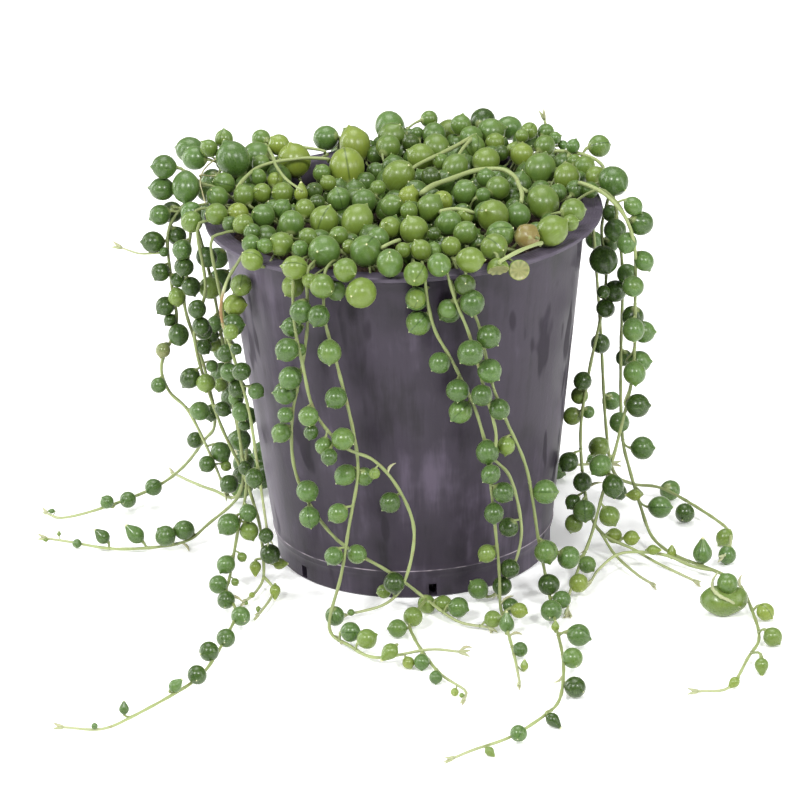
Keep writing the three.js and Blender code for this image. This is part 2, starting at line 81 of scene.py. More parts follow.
# Stems: azimuth and lift at the rim, the route from there down and out over the surface, and
# the route of each fork, which starts at a point of the main one.
TRAILS = {
    "trail_left_1": (173, 4, [
        (-71, 5, 104), (-71, 0, 90), (-70, 0, 75), (-75, -3, 63), (-73, -5, 55), (-67, -8, 49),
        (-60, -15, 35), (-57, -18, 27)]),
    "trail_left_2": (185, 1, [
        (-66, -4, 92), (-67, -3, 81), (-62, 1, 59), (-60, 6, 40), (-64, 13, 31), (-72, 30, 15),
        (-82, 38, 5), (-98, 28, 3), (-110, 25, 1.5), (-115, 29, 1.5)]),
    "trail_left_3": (178.5, 0, [
        (-61, 2, 99), (-58, 2, 82), (-55, -2, 58), (-52, -4, 33), (-53, -4, 20), (-63, 2, 8),
        (-72, 0, 2.5), (-91, -1, 1.5), (-107, 6, 1.5), (-114, 8, 2)]),
    "trail_left_4": (193, 0, [
        (-60, -16, 92), (-64, -16, 76), (-58, -20, 52), (-51, -24, 35), (-47, -28, 22),
        (-46, -29, 13), (-46, -31, 4), (-48, -37, 2), (-51, -44, 2)],
        [(-46, -31, 4), (-43, -37, 2.5), (-44, -44, 2), (-47, -54, 2)]),
    "trail_left_5": (205, 0, [
        (-55, -28, 93), (-54, -28, 78), (-51, -29, 45), (-50, -30, 33), (-53, -32, 20),
        (-56, -34, 6), (-57, -42, 4), (-54, -55, 4), (-55, -67, 4), (-61, -94, 4), (-67, -105, 3),
        (-82, -122, 2), (-91, -129, 1.5), (-102, -127, 1.5)]),
    "trail_left_6": (220, 0, [
        (-53, -36, 101), (-55, -35, 91), (-52, -37, 79), (-48, -39, 62), (-46, -39, 43),
        (-44, -35, 19)]),
    "trail_front_1": (239, 0, [
        (-33, -56, 96), (-31, -58, 83), (-28, -60, 69), (-20, -63, 59), (-11, -63, 54),
        (-4, -62, 44), (0, -60, 30), (-3, -59, 14), (-9, -54, 4), (-21, -57, 2)]),
    "trail_front_2": (243, 0, [
        (-29, -55, 96), (-31, -53, 82), (-35, -50, 62), (-34, -49, 43), (-24, -53, 26),
        (-9, -56, 16), (-3, -53, 10), (3, -54, 5), (12, -64, 2), (21, -68, 1.5)],
        [(3, -54, 5), (-2, -65, 3), (-1, -76, 2.5), (3, -90, 1.5), (7, -101, 1.5), (13, -111, 1.5),
         (13, -116, 1.5)]),
    "trail_front_3": (248, 0, [
        (-24, -58, 97), (-21, -58, 83), (-17, -60, 63), (-16, -60, 49), (-19, -60, 33),
        (-22, -61, 17), (-26, -70, 4), (-20, -79, 2), (-12, -89, 2.5), (3, -90, 5), (12, -90, 4)]),
    "trail_front_4": (275, 0, [
        (6, -61, 103), (8, -60, 93), (13, -58, 82), (19, -57, 67), (23, -55, 52), (29, -53, 43),
        (32, -50, 26), (30, -49, 14), (25, -47, 4)]),
    "trail_front_5": (281, 1, [
        (14, -64, 104), (18, -63, 92), (22, -61, 74), (25, -59, 59), (23, -60, 49), (24, -57, 30),
        (25, -53, 13), (25, -58, 4), (26, -70, 4), (28, -89, 2), (29, -107, 1.5)]),
    "trail_front_6": (286, 0, [
        (18, -60, 102), (21, -59, 93), (24, -58, 76), (28, -56, 63), (34, -52, 45), (37, -47, 21),
        (39, -46, 8), (40, -54, 4), (41, -75, 4), (42, -100, 4), (40, -122, 3), (35, -133, 3),
        (25, -144, 2), (15, -150, 1.5), (9, -155, 1.5)]),
    "trail_right_1": (-8, 4, [
        (66, -10, 109), (69, -9, 98), (69, -8, 81), (68, -9, 58), (63, -15, 39), (58, -20, 24),
        (54, -25, 12), (50, -32, 5), (46, -49, 3), (45, -58, 2)]),
    "trail_right_2": (3, 1, [
        (65, 4, 98), (66, 6, 82), (65, 5, 56), (65, 3, 33), (67, 1, 22), (70, -6, 12), (73, -13, 5),
        (79, -25, 4), (90, -35, 3), (97, -46, 3), (100, -68, 2), (100, -84, 2), (96, -96, 2),
        (89, -115, 1.5), (80, -117, 1.5)],
        [(90, -35, 3), (84, -34, 4), (75, -30, 6.5), (63, -28, 6.5), (56, -33, 4), (53, -40, 3)]),
    "trail_right_3": (9, 0, [
        (60, 9, 98), (61, 6, 84), (59, 4, 71), (55, 1, 54), (52, -3, 36), (53, -12, 18),
        (57, -17, 9), (67, -20, 4), (74, -29, 3), (84, -39, 1.5)],
        [(57, -17, 9), (61, -22, 3.5), (67, -34, 2), (71, -40, 1.5)]),
    "trail_right_4": (25, 0, [
        (58, 28, 97), (60, 28, 58), (61, 26, 28), (63, 24, 12), (69, 27, 6), (77, 26, 5),
        (84, 19, 4), (94, 0, 4), (97, -10, 4), (96, -22, 4), (94, -27, 4)]),
}

# Behind the pot: azimuth, sway, reach over the surface and turn there. All pass the stations,
# with distance from the axis, share of the sway and height, and then lie on the surface.
BACK_TRAILS = [
    (46, 4, 84, -8), (66, -5, 98, 8), (88, 5, 90, -10), (108, -4, 104, 8), (130, 6, 92, -6),
    (153, -4, 96, -8)]
BACK_STATIONS = [(63, 0, 97), (62, 1, 76), (61, -0.4, 50), (60, 1, 24), (63, 0.6, 5)]
BACK_LYING = [0.35, 0.7, 1]

# Pearls that the photograph shows: x, y and radius in its pixels, and words for tone, for where
# the tip points in the picture, for a long leaf, for one that lies behind its stem, for one whose
# window line shows and for one that is cut or withered.
SEEN_LEFT = [
    (153, 242, 11, "dark left"), (177, 236, 9.5, "dark behind"), (182, 249.5, 10), (164, 252, 5),
    (206.5, 257, 10.5, "lower_right"), (160.5, 272, 9.6, "dark"), (184, 267, 10, "dark"), (178, 280, 7.5),
    (191, 286.6, 9.5, "dark"), (177, 297, 9, "pale"), (165, 306, 9.8, "dark lower_left"),
    (210, 288, 11.5, "pale left"), (241, 285, 11, "olive line"), (235, 305, 11.3, "yellow right"),
    (197, 309, 9.5, "dark"), (201, 326, 9, "dark"), (215, 324, 7.9), (233, 325, 11, "right"),
    (170, 320, 6.5, "dark"), (178.5, 335, 11), (211, 335, 8, "dark"), (203.6, 331, 9, "dark"),
    (163, 350.5, 7.6, "grey"), (158.5, 385, 8), (190, 378, 10.3, "dark"), (206, 383, 9.5, "pale"),
    (203.6, 347, 8, "dark"), (214, 344, 8, "pale"), (226, 353, 9), (236, 349, 6, "dark"),
    (231, 332, 8, "olive behind"), (212, 366, 6), (229, 372, 9), (241.5, 371.5, 9.6),
    (220.5, 385, 7, "olive"), (237, 388.5, 9.3, "dark"), (256, 391, 8.5), (200, 411, 9.8),
    (211, 413, 8, "dark"), (223, 409, 8), (236, 398, 8), (241, 412, 9.6), (244, 425, 6), (240, 440, 11),
    (195, 440, 8), (221, 452, 10), (207, 464, 8.5), (226, 466, 5.5, "pale"), (245, 468, 7, "dark"),
    (229, 484, 9.5, "lower_left"), (241, 475, 9, "dark behind"), (254.5, 478, 9.4), (248, 513, 9),
    (228.5, 524, 11.3), (249, 531, 9.5, "pale"), (266, 535.5, 7.5, "dark"), (270, 554, 10, "dark"),
    (226, 564.6, 9.6), (242, 557, 5, "pale"), (255.5, 567, 6.8, "yellow down long"),
    (279, 563.6, 6.6, "yellow right long"), (218, 584.5, 9.4), (226, 600, 9.3), (240.6, 616, 9.8),
    (226, 638, 9.8), (209, 651.5, 10.1), (197, 675, 10), (175, 686, 7.5, "upper_right long"),
    (124, 709, 5.8, "up long"), (94.6, 726, 3.3, "up"), (235, 582, 4, "olive"),
    (275, 590.6, 6.4, "yellow down long"), (252, 595, 3.4, "yellow lower_left long"),
    (246, 603, 2.4, "pale"), (258, 609, 2.6, "pale down long"), (153.5, 487, 8.7), (128, 499.6, 8.2),
    (107, 502, 7, "upper_left"), (52, 511, 3, "left long"), (184, 530, 10.2),
    (165.5, 536, 10.5, "upper_left"), (136, 535, 10, "upper_left long"), (103, 537, 8, "upper_left long"),
    (77, 543.5, 4.6), (59, 534, 2.4, "pale up long"), (46, 540, 2.2, "pale left long"),
]
SEEN_FRONT = [
    (301, 311.6, 11.6), (319, 316, 11), (292, 327, 10.5, "behind left"), (287, 349.6, 11.8, "lower_left"),
    (299.5, 350, 7, "behind"), (290, 378, 11.7), (285, 393, 11.5, "left"), (285.6, 415, 8), (281, 433, 10),
    (308.4, 416.5, 10.3), (311, 432, 7.6), (324, 446, 9.2), (329, 457, 8.5), (343, 439, 11.5),
    (345, 475, 11, "lower_left"), (364, 476.6, 9.5, "behind"), (374.6, 473.4, 5.7, "pale"),
    (390, 502.6, 10.5, "lower_left"), (307.4, 491, 11.3), (309.6, 517, 10.5), (338, 513.5, 10.4),
    (334, 556, 9.5), (356.7, 554, 10), (394, 583, 11, "dark"), (384, 591.5, 7.5, "olive behind"),
    (329.4, 352, 12, "misty down"), (336, 398, 11.4, "deep lower_left"), (334.8, 616, 9.8, "behind"),
    (351, 612.5, 3.6, "left"), (350.6, 632, 10, "line right"), (367, 639, 10.2, "pale"),
    (390.4, 651.3, 9, "pale lower_left long"), (408.3, 662.6, 6.3, "yellow"),
    (421.6, 662, 8, "down behind"), (397.5, 628.4, 9.6, "left"), (412.9, 616.6, 10, "pale"),
    (426.6, 604, 9.5, "pale behind"), (443.5, 604, 9, "pale behind"), (458.4, 607.4, 10.4),
    (435.8, 677.3, 6.6, "down"), (454.7, 692, 4.2, "yellow"), (461.8, 695.5, 2.7, "pale"),
    (416.8, 298.4, 12, "lower_left"), (418.4, 322.9, 12.3, "lower_left line"),
    (439.8, 362.7, 10.8, "lower_left"), (449, 310.6, 12.3, "lower_left"), (471.9, 303, 12.8, "down"),
    (488.8, 336.6, 12.2, "lower_right"), (470.4, 353, 13, "deep lower_left"),
    (489.8, 370.8, 12.2, "lower_right"), (457.6, 390.2, 11.8, "down"),
    (460.2, 411.6, 11.8, "lower_left line"), (481.6, 395.3, 11, "lower_left"), (499, 409, 10.8),
    (506.3, 445.7, 9.3, "pale behind"), (487.4, 452.2, 12, "deep"), (490.6, 474.5, 10, "lower_left line"),
    (503, 492.4, 11), (493.9, 513, 10, "down"), (508.5, 527, 10, "dark behind"),
    (486.8, 553.6, 9.3, "lower_left pale"), (509.6, 568.8, 10, "dark"), (502, 586.2, 10, "dark"),
    (478.3, 589, 10.4, "upper_left"), (492.8, 619, 8.5, "pale"), (510.6, 605.8, 8, "behind"),
    (519.2, 610.4, 8, "yellow"), (506.6, 624.2, 8.8, "up long"), (520.4, 649.5, 7.5),
    (524.4, 666, 4.8, "yellow up long"), (545.4, 491.8, 12.5, "line right"), (546, 552, 12),
    (568.7, 557.4, 11.5), (548.8, 584.3, 10.7, "dark"), (561.7, 599.5, 9.5, "behind"), (551.4, 610.4, 11),
    (555.4, 627, 4.8, "yellow up long"), (578.9, 635, 11.5), (572.6, 658, 10.7),
    (574.9, 687.3, 11, "dark"), (552.5, 719.5, 8, "dark lower_right long"), (518.6, 733.3, 8.5),
    (489.4, 751, 5.3, "olive lower_right long"),
]
SEEN_RIGHT = [
    (633, 206, 9.5, "misty"), (641, 223, 12.5, "deep"), (610.5, 213.5, 8.5), (615, 230, 11.5),
    (627, 243, 10.5), (644, 261, 10), (603.5, 260, 14.7, "dark"), (594, 240, 9, "behind"),
    (610, 244, 9, "behind"), (627, 274, 10.5), (633, 286.5, 11, "misty"), (615, 291, 11, "dark"),
    (603.5, 292, 7, "dark"), (605.4, 308.3, 9.7, "dark"), (600.4, 343.6, 9.8, "dark"),
    (582.6, 381, 9.6, "dark"), (579.5, 395.4, 9, "olive behind"), (633, 316.8, 11.3, "dark behind"),
    (633.5, 329.7, 11.8, "misty"), (643.8, 332, 11, "right behind"), (639.3, 361.4, 11.5, "right behind"),
    (634.4, 373, 11.6, "misty"), (624, 357.9, 8.5, "dark behind"), (611.6, 401, 9.5, "behind"),
    (638, 405.6, 12, "right dark"), (619.6, 422.3, 10.4, "misty"), (572.3, 416, 9.5, "olive"),
    (588.4, 412, 6.5, "behind"), (568.5, 462, 10.2, "dark"), (582.5, 482.2, 9.8, "dark"),
    (573, 501.8, 8, "dark behind"), (584.3, 510.8, 11.3, "misty line"), (574, 523.6, 9.2, "olive"),
    (599, 447, 10.7, "olive"), (600.6, 465.5, 11.3, "misty lower_left"), (642.4, 447.9, 11.7, "right"),
    (613, 486, 11.5, "dark"), (619, 491.8, 8, "dark behind"), (609.4, 516, 10.5, "olive"),
    (670.2, 490.4, 10.3, "behind"), (684.9, 513, 10, "dark"), (660, 507.2, 11.5, "right line"),
    (635, 494.8, 6.8, "yellow left long"), (614.5, 535.8, 7.8, "yellow behind"),
    (631.4, 538, 7.8, "yellow right"), (652.6, 549.8, 6, "yellow right long"),
    (671.7, 552.7, 5.5, "yellow up long"), (702.5, 553.5, 11.2, "up long"),
    (724.5, 537.3, 8.8, "olive behind"), (727.4, 555, 9.3, "behind"),
    (587.2, 564.5, 8.6, "misty lower_right"), (578.6, 583, 9.8, "yellow"),
    (765.3, 611.8, 8.8, "lower_right yellow"), (772.6, 636.8, 9.8, "lower_right olive"),
    (761.6, 665, 8, "down long olive"), (734.5, 682, 6, "lower_left long yellow"),
]
SEEN_MAT = [
    (190, 150, 14, "deep behind"), (195, 158, 12.6), (209, 148, 9), (224, 139, 9.5, "up"),
    (233, 159, 17.5, "deep"), (261, 139, 9.8), (279, 145, 11, "yellow"), (294, 160, 17, "yellow"),
    (355, 144, 16, "yellow"), (347, 167, 18, "yellow line"), (390, 126.5, 15.5), (388, 147, 12.6),
    (429, 119, 9), (417, 133.5, 7), (411, 143, 9, "dark"), (434, 135, 12), (449, 133.5, 14.5),
    (461, 125, 10.5), (483, 121, 13, "dark"), (491, 132, 14), (509, 128, 13), (529, 131, 9), (522, 136, 7),
    (546, 132, 8.7), (555, 138, 6.5), (544.5, 146, 11), (573, 146, 7), (563, 145, 5), (599, 146, 11.5),
    (421, 157, 14, "pale"), (441, 161.5, 8), (455, 167, 13), (486, 161, 14, "pale"), (501, 153, 8, "dark"),
    (522, 154.5, 11.5, "yellow"), (514, 150, 8), (540, 169, 15.7), (567, 177, 13.4, "down"), (574, 161, 7),
    (584.5, 166, 10.5), (596.5, 177, 11, "olive"), (613.5, 181, 15.5, "deep"), (399, 176, 17, "pale"),
    (431, 177, 10, "dark"), (465, 192, 12.5), (483, 195, 7.7), (498, 188, 12), (486, 178, 10),
    (164, 167, 12.5, "deep left"), (162, 189, 12, "deep"), (186, 187, 14.8, "deep down"),
    (224, 184, 11.5, "misty"), (217, 197, 11.5), (244, 195, 10.5), (261, 164, 9.5), (258, 177, 8.5),
    (262, 193, 10), (283, 193, 11.2), (275, 180, 8, "yellow behind"), (301, 194, 8, "yellow long up"),
    (314, 191, 8.5, "dark"), (328, 183, 8.5, "olive"), (317, 202, 8, "dark"), (322, 173, 9, "behind"),
    (339, 199, 12, "line"), (364, 201, 12.5), (378, 188, 8), (392, 206, 12),
    (409, 197, 11, "yellow behind"), (409, 211, 9), (430, 208, 13.5), (442, 201, 11, "yellow behind"),
    (543, 202, 17), (573, 211, 13), (570, 223, 8.5), (160, 215, 10.5, "deep"),
    (172, 212, 11, "dark behind"), (191, 212, 10.5), (191.5, 222, 11), (216.5, 214, 11.3),
    (238, 213.5, 11, "yellow behind"), (243, 224, 10.2), (263, 216, 12), (282, 209, 10), (305, 209, 10.5),
    (291.5, 223, 13, "misty"), (324, 220.5, 15, "pale line"), (357, 220.5, 16, "pale"),
    (390, 227.5, 11, "pale"), (378, 239, 12), (414, 230, 14.7, "pale"), (434, 234, 7, "dark"),
    (449, 223, 12.5), (465, 216, 8.5, "pale"), (465, 233, 12), (493, 216, 17, "pale"), (518, 215, 12.5),
    (500, 234.5, 14), (494, 247, 14, "line"), (527, 236, 12, "withered"), (551.6, 230.7, 16, "olive"),
    (308, 237, 9.3), (338.5, 236, 10), (324, 251, 16.3), (349, 247, 7.5), (366, 251, 16.5),
    (281, 244, 12.7), (251, 244, 9.5), (265, 246, 8), (300, 248.5, 8.5), (390, 263, 14), (403, 250, 8),
    (421, 250, 10.5), (434, 250, 8), (451, 246, 9.8, "pale"), (470, 260, 13.3, "pale right"),
    (439, 265, 12.2), (415.6, 274, 12.6), (345, 270, 12.2), (252, 260, 11.2, "pale"),
    (295, 267.5, 12.5, "pale line"), (293, 286, 12), (310, 281, 8), (322, 286, 12.7),
    (336, 290.6, 10, "behind"), (361, 293, 16, "olive"), (416, 299, 10, "behind"), (465, 285, 11, "dark"),
    (472, 303, 11, "behind"), (448, 309, 10, "behind"), (498, 269, 11.5, "cut down"),
    (519, 270, 11, "cut"), (230, 224, 8, "deep behind"), (575, 189, 9, "deep behind"),
    (590, 190, 9, "deep behind"), (558, 192, 9, "deep behind"), (252, 232, 9, "deep behind"),
]

# Stems that creep and arch over the mat, as points in the photograph and a half thickness there.
SEEN_ARCHES = [
    (2.0, [(238, 187), (247, 176), (259, 167), (275, 162), (291.5, 159.5), (308, 158), (328, 159)]),
    (1.8, [(266, 145), (273, 157), (276, 166), (287, 180), (301, 190)]),
    (1.7, [(291.5, 147), (308, 148), (324, 151)]),
    (0.8, [(230, 153), (216, 159), (204.5, 169), (200, 181), (202, 191), (205, 202)]),
    (0.8, [(200, 175), (212, 176), (224, 175)]),
    (2.7, [(423, 192), (434, 185), (451, 179), (470, 172), (489, 169), (504, 170), (515, 177),
           (520, 187), (526, 191)]),
    (2.4, [(520, 187), (522, 194), (521.5, 201)]),
    (2.2, [(474.5, 136), (456, 146), (439, 154.5), (421, 163), (409, 171)]),
    (2.0, [(474.5, 136), (465, 146), (458, 156)]),
    (2.2, [(442, 211), (456, 209), (472, 212)]),
    (2.0, [(383, 247), (391, 243), (399, 240)]),
    (2.0, [(557, 151), (571, 152), (585, 155), (596.5, 160), (603, 166.5)]),
    (2.1, [(581, 183), (598, 190), (610.5, 199), (622, 212), (629, 225), (633, 239), (636, 258)]),
    (2.0, [(501, 261), (519, 251), (540.5, 243)]),
]
ARCH_RISE = 4
BUD_PIXEL = (543, 130)
SIDE_SHOOT = [(150, 253.5), (139, 253.5), (129, 250.5), (122, 248)]

# Places in the photograph where the mat shows no pearls; its corner, left of this x and below
# this y, where the rear stems show none; and the x at the left and right past which it shows
# the mat from the side, so that only the far side gets pearls by rule there.
BARE_SPOTS = [
    (300, 130), (325, 132), (290, 149), (315, 149), (340, 149), (312, 186), (575, 195), (510, 258),
    (535, 252), (575, 240),
]
BARE_REACH = 17
OPEN_LEFT = (236, 400)
MAT_SIDES = (215, 600)
MAT_PIXELS_PER_MM = 3.27

# Tones run from deep green over yellow-green to dry beige, on the scale of the skin's colours.
TONES = {
    "dark": 0.1, "deep": 0.22, "misty": 0.34, "olive": 0.47, "cut": 0.46, "pale": 0.52,
    "yellow": 0.68, "grey": 0.84, "withered": 1.0,
}
PLAIN_TONE = 0.27
MAT_TONE = 0.38
LEFT_TONE = 0.23
TONE_SPREAD = 0.1
NAMED_TONE_SPREAD = 0.03
TIP_SIDES = {
    "left": (-1, 0), "right": (1, 0), "up": (0, 1), "down": (0, -1), "lower_left": (-0.7, -0.7),
    "lower_right": (0.7, -0.7), "upper_left": (-0.7, 0.7), "upper_right": (0.7, 0.7),
}


# Camera: its axes, and a ray through a pixel of the photograph
def camera_axes():
    across = np.array([1.0, 0.0, 0.0])
    forward = np.array([0.0, math.cos(CAMERA_ELEVATION), -math.sin(CAMERA_ELEVATION)])
    upward = np.cross(across, forward)
    right = math.cos(CAMERA_ROLL) * across - math.sin(CAMERA_ROLL) * upward
    up = math.sin(CAMERA_ROLL) * across + math.cos(CAMERA_ROLL) * upward
    return right, up, forward


RIGHT, UP, FORWARD = camera_axes()
EYE = TARGET - FORWARD * CAMERA_DISTANCE
PHOTO_MIDDLE = PHOTO_SIZE / 2


def unit(vector):
    vector = np.asarray(vector, float)
    return vector / max(np.linalg.norm(vector), 1e-9)


def pixel_ray(x, y):
    return unit(FORWARD * FOCAL_PIXELS + RIGHT * (x - PHOTO_MIDDLE) + UP * (PHOTO_MIDDLE - y))


def to_pixels(points):
    offset = np.asarray(points, float) - EYE
    depth = offset @ FORWARD
    x = PHOTO_MIDDLE + FOCAL_PIXELS * (offset @ RIGHT) / depth
    y = PHOTO_MIDDLE - FOCAL_PIXELS * (offset @ UP) / depth
    return np.stack([x, y], axis=-1)


def polar(radius, azimuth_deg, z):
    azimuth = math.radians(azimuth_deg)
    return (radius * math.cos(azimuth), radius * math.sin(azimuth), z)


def reach_of(point):
    """How far a point is from the pot's axis."""
    return math.hypot(point[0], point[1])


def sways(*limits):
    return np.array([chance.uniform(low, high) for low, high in limits])


# Stems: smooth curves through their points. From the root over the rim, each point has its
# distance from the pot's axis, its height and how much of the stem's lift it takes.
RIM_ROUTE = [
    (ROOT_RADIUS, SOIL_TOP - HOLE_DEPTH, 0), (ROOT_RADIUS, SOIL_TOP + 3, 0),
    (ROOT_RADIUS + 3, POT_HEIGHT - 1, 1 / 3), (MOUTH_RADIUS, POT_HEIGHT + 2.7, 1 / 2),
    (RIM_RADIUS - 0.5, POT_HEIGHT + 3.2, 1), (RIM_RADIUS + 3.3, POT_HEIGHT + 0.5, 1),
]


def smooth(points, step=STEM_STEP):
    """A Catmull-Rom curve through the points, in steps of about the same length."""
    points = np.asarray(points, float)
    first = 2 * points[0] - points[1]
    last = 2 * points[-1] - points[-2]
    padded = np.vstack([first, points, last])
    samples = [points[0]]
    for a, b, c, d in zip(padded, padded[1:], padded[2:], padded[3:]):
        count = max(1, round(np.linalg.norm(c - b) / step))
        for k in range(1, count + 1):
            t = k / count
            samples.append(0.5 * (
                2 * b + (c - a) * t + (2 * a - 5 * b + 4 * c - d) * t ** 2
                + (3 * b - a - 3 * c + d) * t ** 3))
    return np.array(samples)


def rim_crossing(azimuth, lift):
    return [polar(radius, azimuth, z + lift * share) for radius, z, share in RIM_ROUTE]


def back_trail(azimuth, sway, reach, turn):
    hanging = [polar(radius, azimuth + sway * share, z) for radius, share, z in BACK_STATIONS]
    start, share, _ = BACK_STATIONS[-1]
    landing = azimuth + sway * share
    lying = [polar(start + (reach - start) * t, landing + turn * t, 4 - 2.4 * t) for t in BACK_LYING]
    return hanging + lying


def all_trails():
    trails = {}
    for name, (azimuth, lift, route, *forks) in TRAILS.items():
        trails[name] = [smooth(rim_crossing(azimuth, lift) + route)] + [smooth(f) for f in forks]
    for i, (azimuth, sway, reach, turn) in enumerate(BACK_TRAILS):
        route = rim_crossing(azimuth, i % 3) + back_trail(azimuth, sway, reach, turn)
        trails[f"trail_back_{i + 1}"] = [smooth(route)]
    return trails


def link(name, data):
    made = bpy.data.objects.new(name, data)
    bpy.context.scene.collection.objects.link(made)
    return made


def new_mesh(name, points, faces):
    """A mesh in metres, from points in millimetres."""
    mesh = bpy.data.meshes.new(name)
    mesh.from_pydata((np.asarray(points) * MM).tolist(), [], faces)
    return mesh


def dress(mesh, material):
    """One material and smooth shading all over."""
    mesh.materials.clear()
    mesh.materials.append(material)
    mesh.polygons.foreach_set("use_smooth", np.ones(len(mesh.polygons), bool))


LOWEST = 0.02


# Meshes are gathered as vertices, faces and two values for the skin: a tone, and the place on
# the unit shape that the window line and the tip are drawn from. None goes below LOWEST.
class Gathered:
    def __init__(self):
        self.parts, self.faces, self.count = [], [], 0

    def add(self, points, faces, tones, places):
        self.parts.append((points, np.broadcast_to(tones, len(points)), places))
        self.faces += [tuple(i + self.count for i in face) for face in faces]
        self.count += len(points)

    def to_object(self, name, material):
        points, tones, places = (np.concatenate(part) for part in zip(*self.parts))
        points[:, 2] = np.maximum(points[:, 2], LOWEST)
        mesh = new_mesh(name, points, self.faces)
        mesh.validate()
        tone = mesh.attributes.new("tone", "FLOAT", "POINT")
        tone.data.foreach_set("value", tones.astype(np.float32))
        place = mesh.attributes.new("place", "FLOAT_VECTOR", "POINT")
        place.data.foreach_set("vector", places.astype(np.float32).ravel())
        dress(mesh, material)
        piece = link(name, mesh)
        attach(piece, "root")
        return piece


PIECES = {}


def gathered(kind, owner):
    return PIECES.setdefault((kind, owner), Gathered())


def frames_along(points):
    """For each point of a curve: its direction and two vectors across it, without twist."""
    last = len(points) - 1
    normal = None
    frames = []
    for i in range(len(points)):
        along = unit(points[min(i + 1, last)] - points[max(i - 1, 0)])
        if normal is None:
            normal = np.cross(along, (along[1], along[2], along[0]))
        normal = unit(normal - along * (normal @ along))
        frames.append((along, normal, np.cross(along, normal)))
    return frames


def add_tube(into, points, radii, tones, sides=STEM_SIDES):
    """A closed tube; its place holds the way round it and along it."""
    points = np.asarray(points, float)
    turns = 2 * math.pi * np.arange(sides) / sides
    length = np.concatenate([[0], np.cumsum(np.linalg.norm(np.diff(points, axis=0), axis=1))])
    rings, places = [], []
    for i, (_, normal, side) in enumerate(frames_along(points)):
        ring = np.outer(np.cos(turns), normal) + np.outer(np.sin(turns), side)
        rings.append(points[i] + ring * radii[i])
        places.append(np.stack([np.cos(turns), np.sin(turns), np.full(sides, length[i])], axis=-1))
    last = (len(points) - 1) * sides
    faces = [
        (i + k, i + (k + 1) % sides, i + (k + 1) % sides + sides, i + k + sides)
        for i in range(0, last, sides) for k in range(sides)
    ]
    faces += [tuple(reversed(range(sides))), tuple(range(last, last + sides))]
    tones = np.repeat(np.broadcast_to(tones, len(points)), sides)
    into.add(np.vstack(rings), faces, tones, np.vstack(places))


def closed_form(start, rings, end):
    """Points and faces of a closed shape: a first point, rings that go down round it, a last one."""
    sides = len(rings[0])
    points = np.vstack([[start], *rings, [end]])
    last = 1 + (len(rings) - 1) * sides
    faces = []
    for k in range(sides):
        after = (k + 1) % sides
        faces.append((0, 1 + k, 1 + after))
        faces += [(a + k, a + sides + k, a + sides + after, a + after) for a in range(1, last, sides)]
        faces.append((last + k, len(points) - 1, last + after))
    return points, faces


# Pearl: a ball on its petiole, with a pointed tip; a long one is drawn out like a drop.
RING_COUNT = 13
MERIDIAN_COUNT = 18
TIP_HEIGHT = 0.21
TIP_WIDTH = 0.17
LONG_TIP = 0.75
LONG_WIDTH = 0.62
NECK_HEIGHT = 0.12
NECK_WIDTH = 0.3
LONG_SIZE = (0.88, 0.88, 0.9)
RING_CROWDING = 1.35
SWELLING = 0.012
SWELLING_WAVES = (3.1, 2.7, 2.3)
LINED_SHARE = 0.3
LARGE_RADIUS = 3.9


def pearl_form(is_long):
    """The unit pearl: its tip on +Z, with rings crowded towards the tip."""
    tip, width = (LONG_TIP, LONG_WIDTH) if is_long else (TIP_HEIGHT, TIP_WIDTH)
    falls = math.pi * (np.arange(1, RING_COUNT + 1) / (RING_COUNT + 1)) ** RING_CROWDING
    turns = 2 * math.pi * np.arange(MERIDIAN_COUNT) / MERIDIAN_COUNT
    reach = 1 + NECK_HEIGHT * np.exp(-((math.pi - falls) / NECK_WIDTH) ** 2)
    near_tip = np.exp(-(falls / width) ** 2)
    height = reach * np.cos(falls) + tip * near_tip
    spread = reach * np.sin(falls) * (1 - 0.35 * near_tip)
    rings = [
        np.stack([out * np.cos(turns), out * np.sin(turns), np.full(MERIDIAN_COUNT, up)], axis=-1)
        for out, up in zip(spread, height)
    ]
    return closed_form((0, 0, 1 + tip), rings, (0, 0, -1 - NECK_HEIGHT))


ROUND_FORM = pearl_form(False)
LONG_FORM = pearl_form(True)


def add_pearl(into, centre, radius, tip, tone, is_long=False, line_towards=None):
    """A pearl with its window line on one side; on most pearls the line is left out."""
    points, faces = LONG_FORM if is_long else ROUND_FORM
    up = unit(tip)
    towards = line_towards if line_towards is not None else unit(sways((-1, 1), (-1, 1), (-0.2, 1)))
    first = unit(towards - up * (towards @ up))
    second = np.cross(up, first)
    size = radius * sways((0.97, 1.03), (0.96, 1.02), (0.96, 1.04))
    if is_long:
        size = size * LONG_SIZE
    if radius > LARGE_RADIUS:
        size = size * (0.98, 0.98, chance.uniform(1.0, 1.08))
    phases = sways(*[(0, 2 * math.pi)] * 3)
    swell = 1 + SWELLING * np.sin(points * SWELLING_WAVES + phases).sum(axis=1)
    local = points * swell[:, None] * size
    marks = points.copy()
    if is_long:
        over = marks[:, 2] > 1
        marks[over, 2] = 1 + (marks[over, 2] - 1) * TIP_HEIGHT / LONG_TIP
    if line_towards is None and chance.random() > LINED_SHARE:
        marks[:, 0] = -np.abs(marks[:, 0])
    into.add(centre + local @ np.array([first, second, up]), faces, tone, marks)


# Pot surfaces, for keeping pearls clear of them
def wall_radius(z):
    return BASE_RADIUS + (WALL_TOP_RADIUS - BASE_RADIUS) * z / POT_HEIGHT


def inner_radius(z):
    return MOUTH_RADIUS - WALL_TOP_RADIUS + wall_radius(z)


def segment_gap(point, a, b):
    """How far a point is from the line between two others."""
    a, b, point = np.array(a, float), np.array(b, float), np.array(point, float)
    t = np.clip((point - a) @ (b - a) / ((b - a) @ (b - a)), 0, 1)
    return np.linalg.norm(point - a - (b - a) * t)


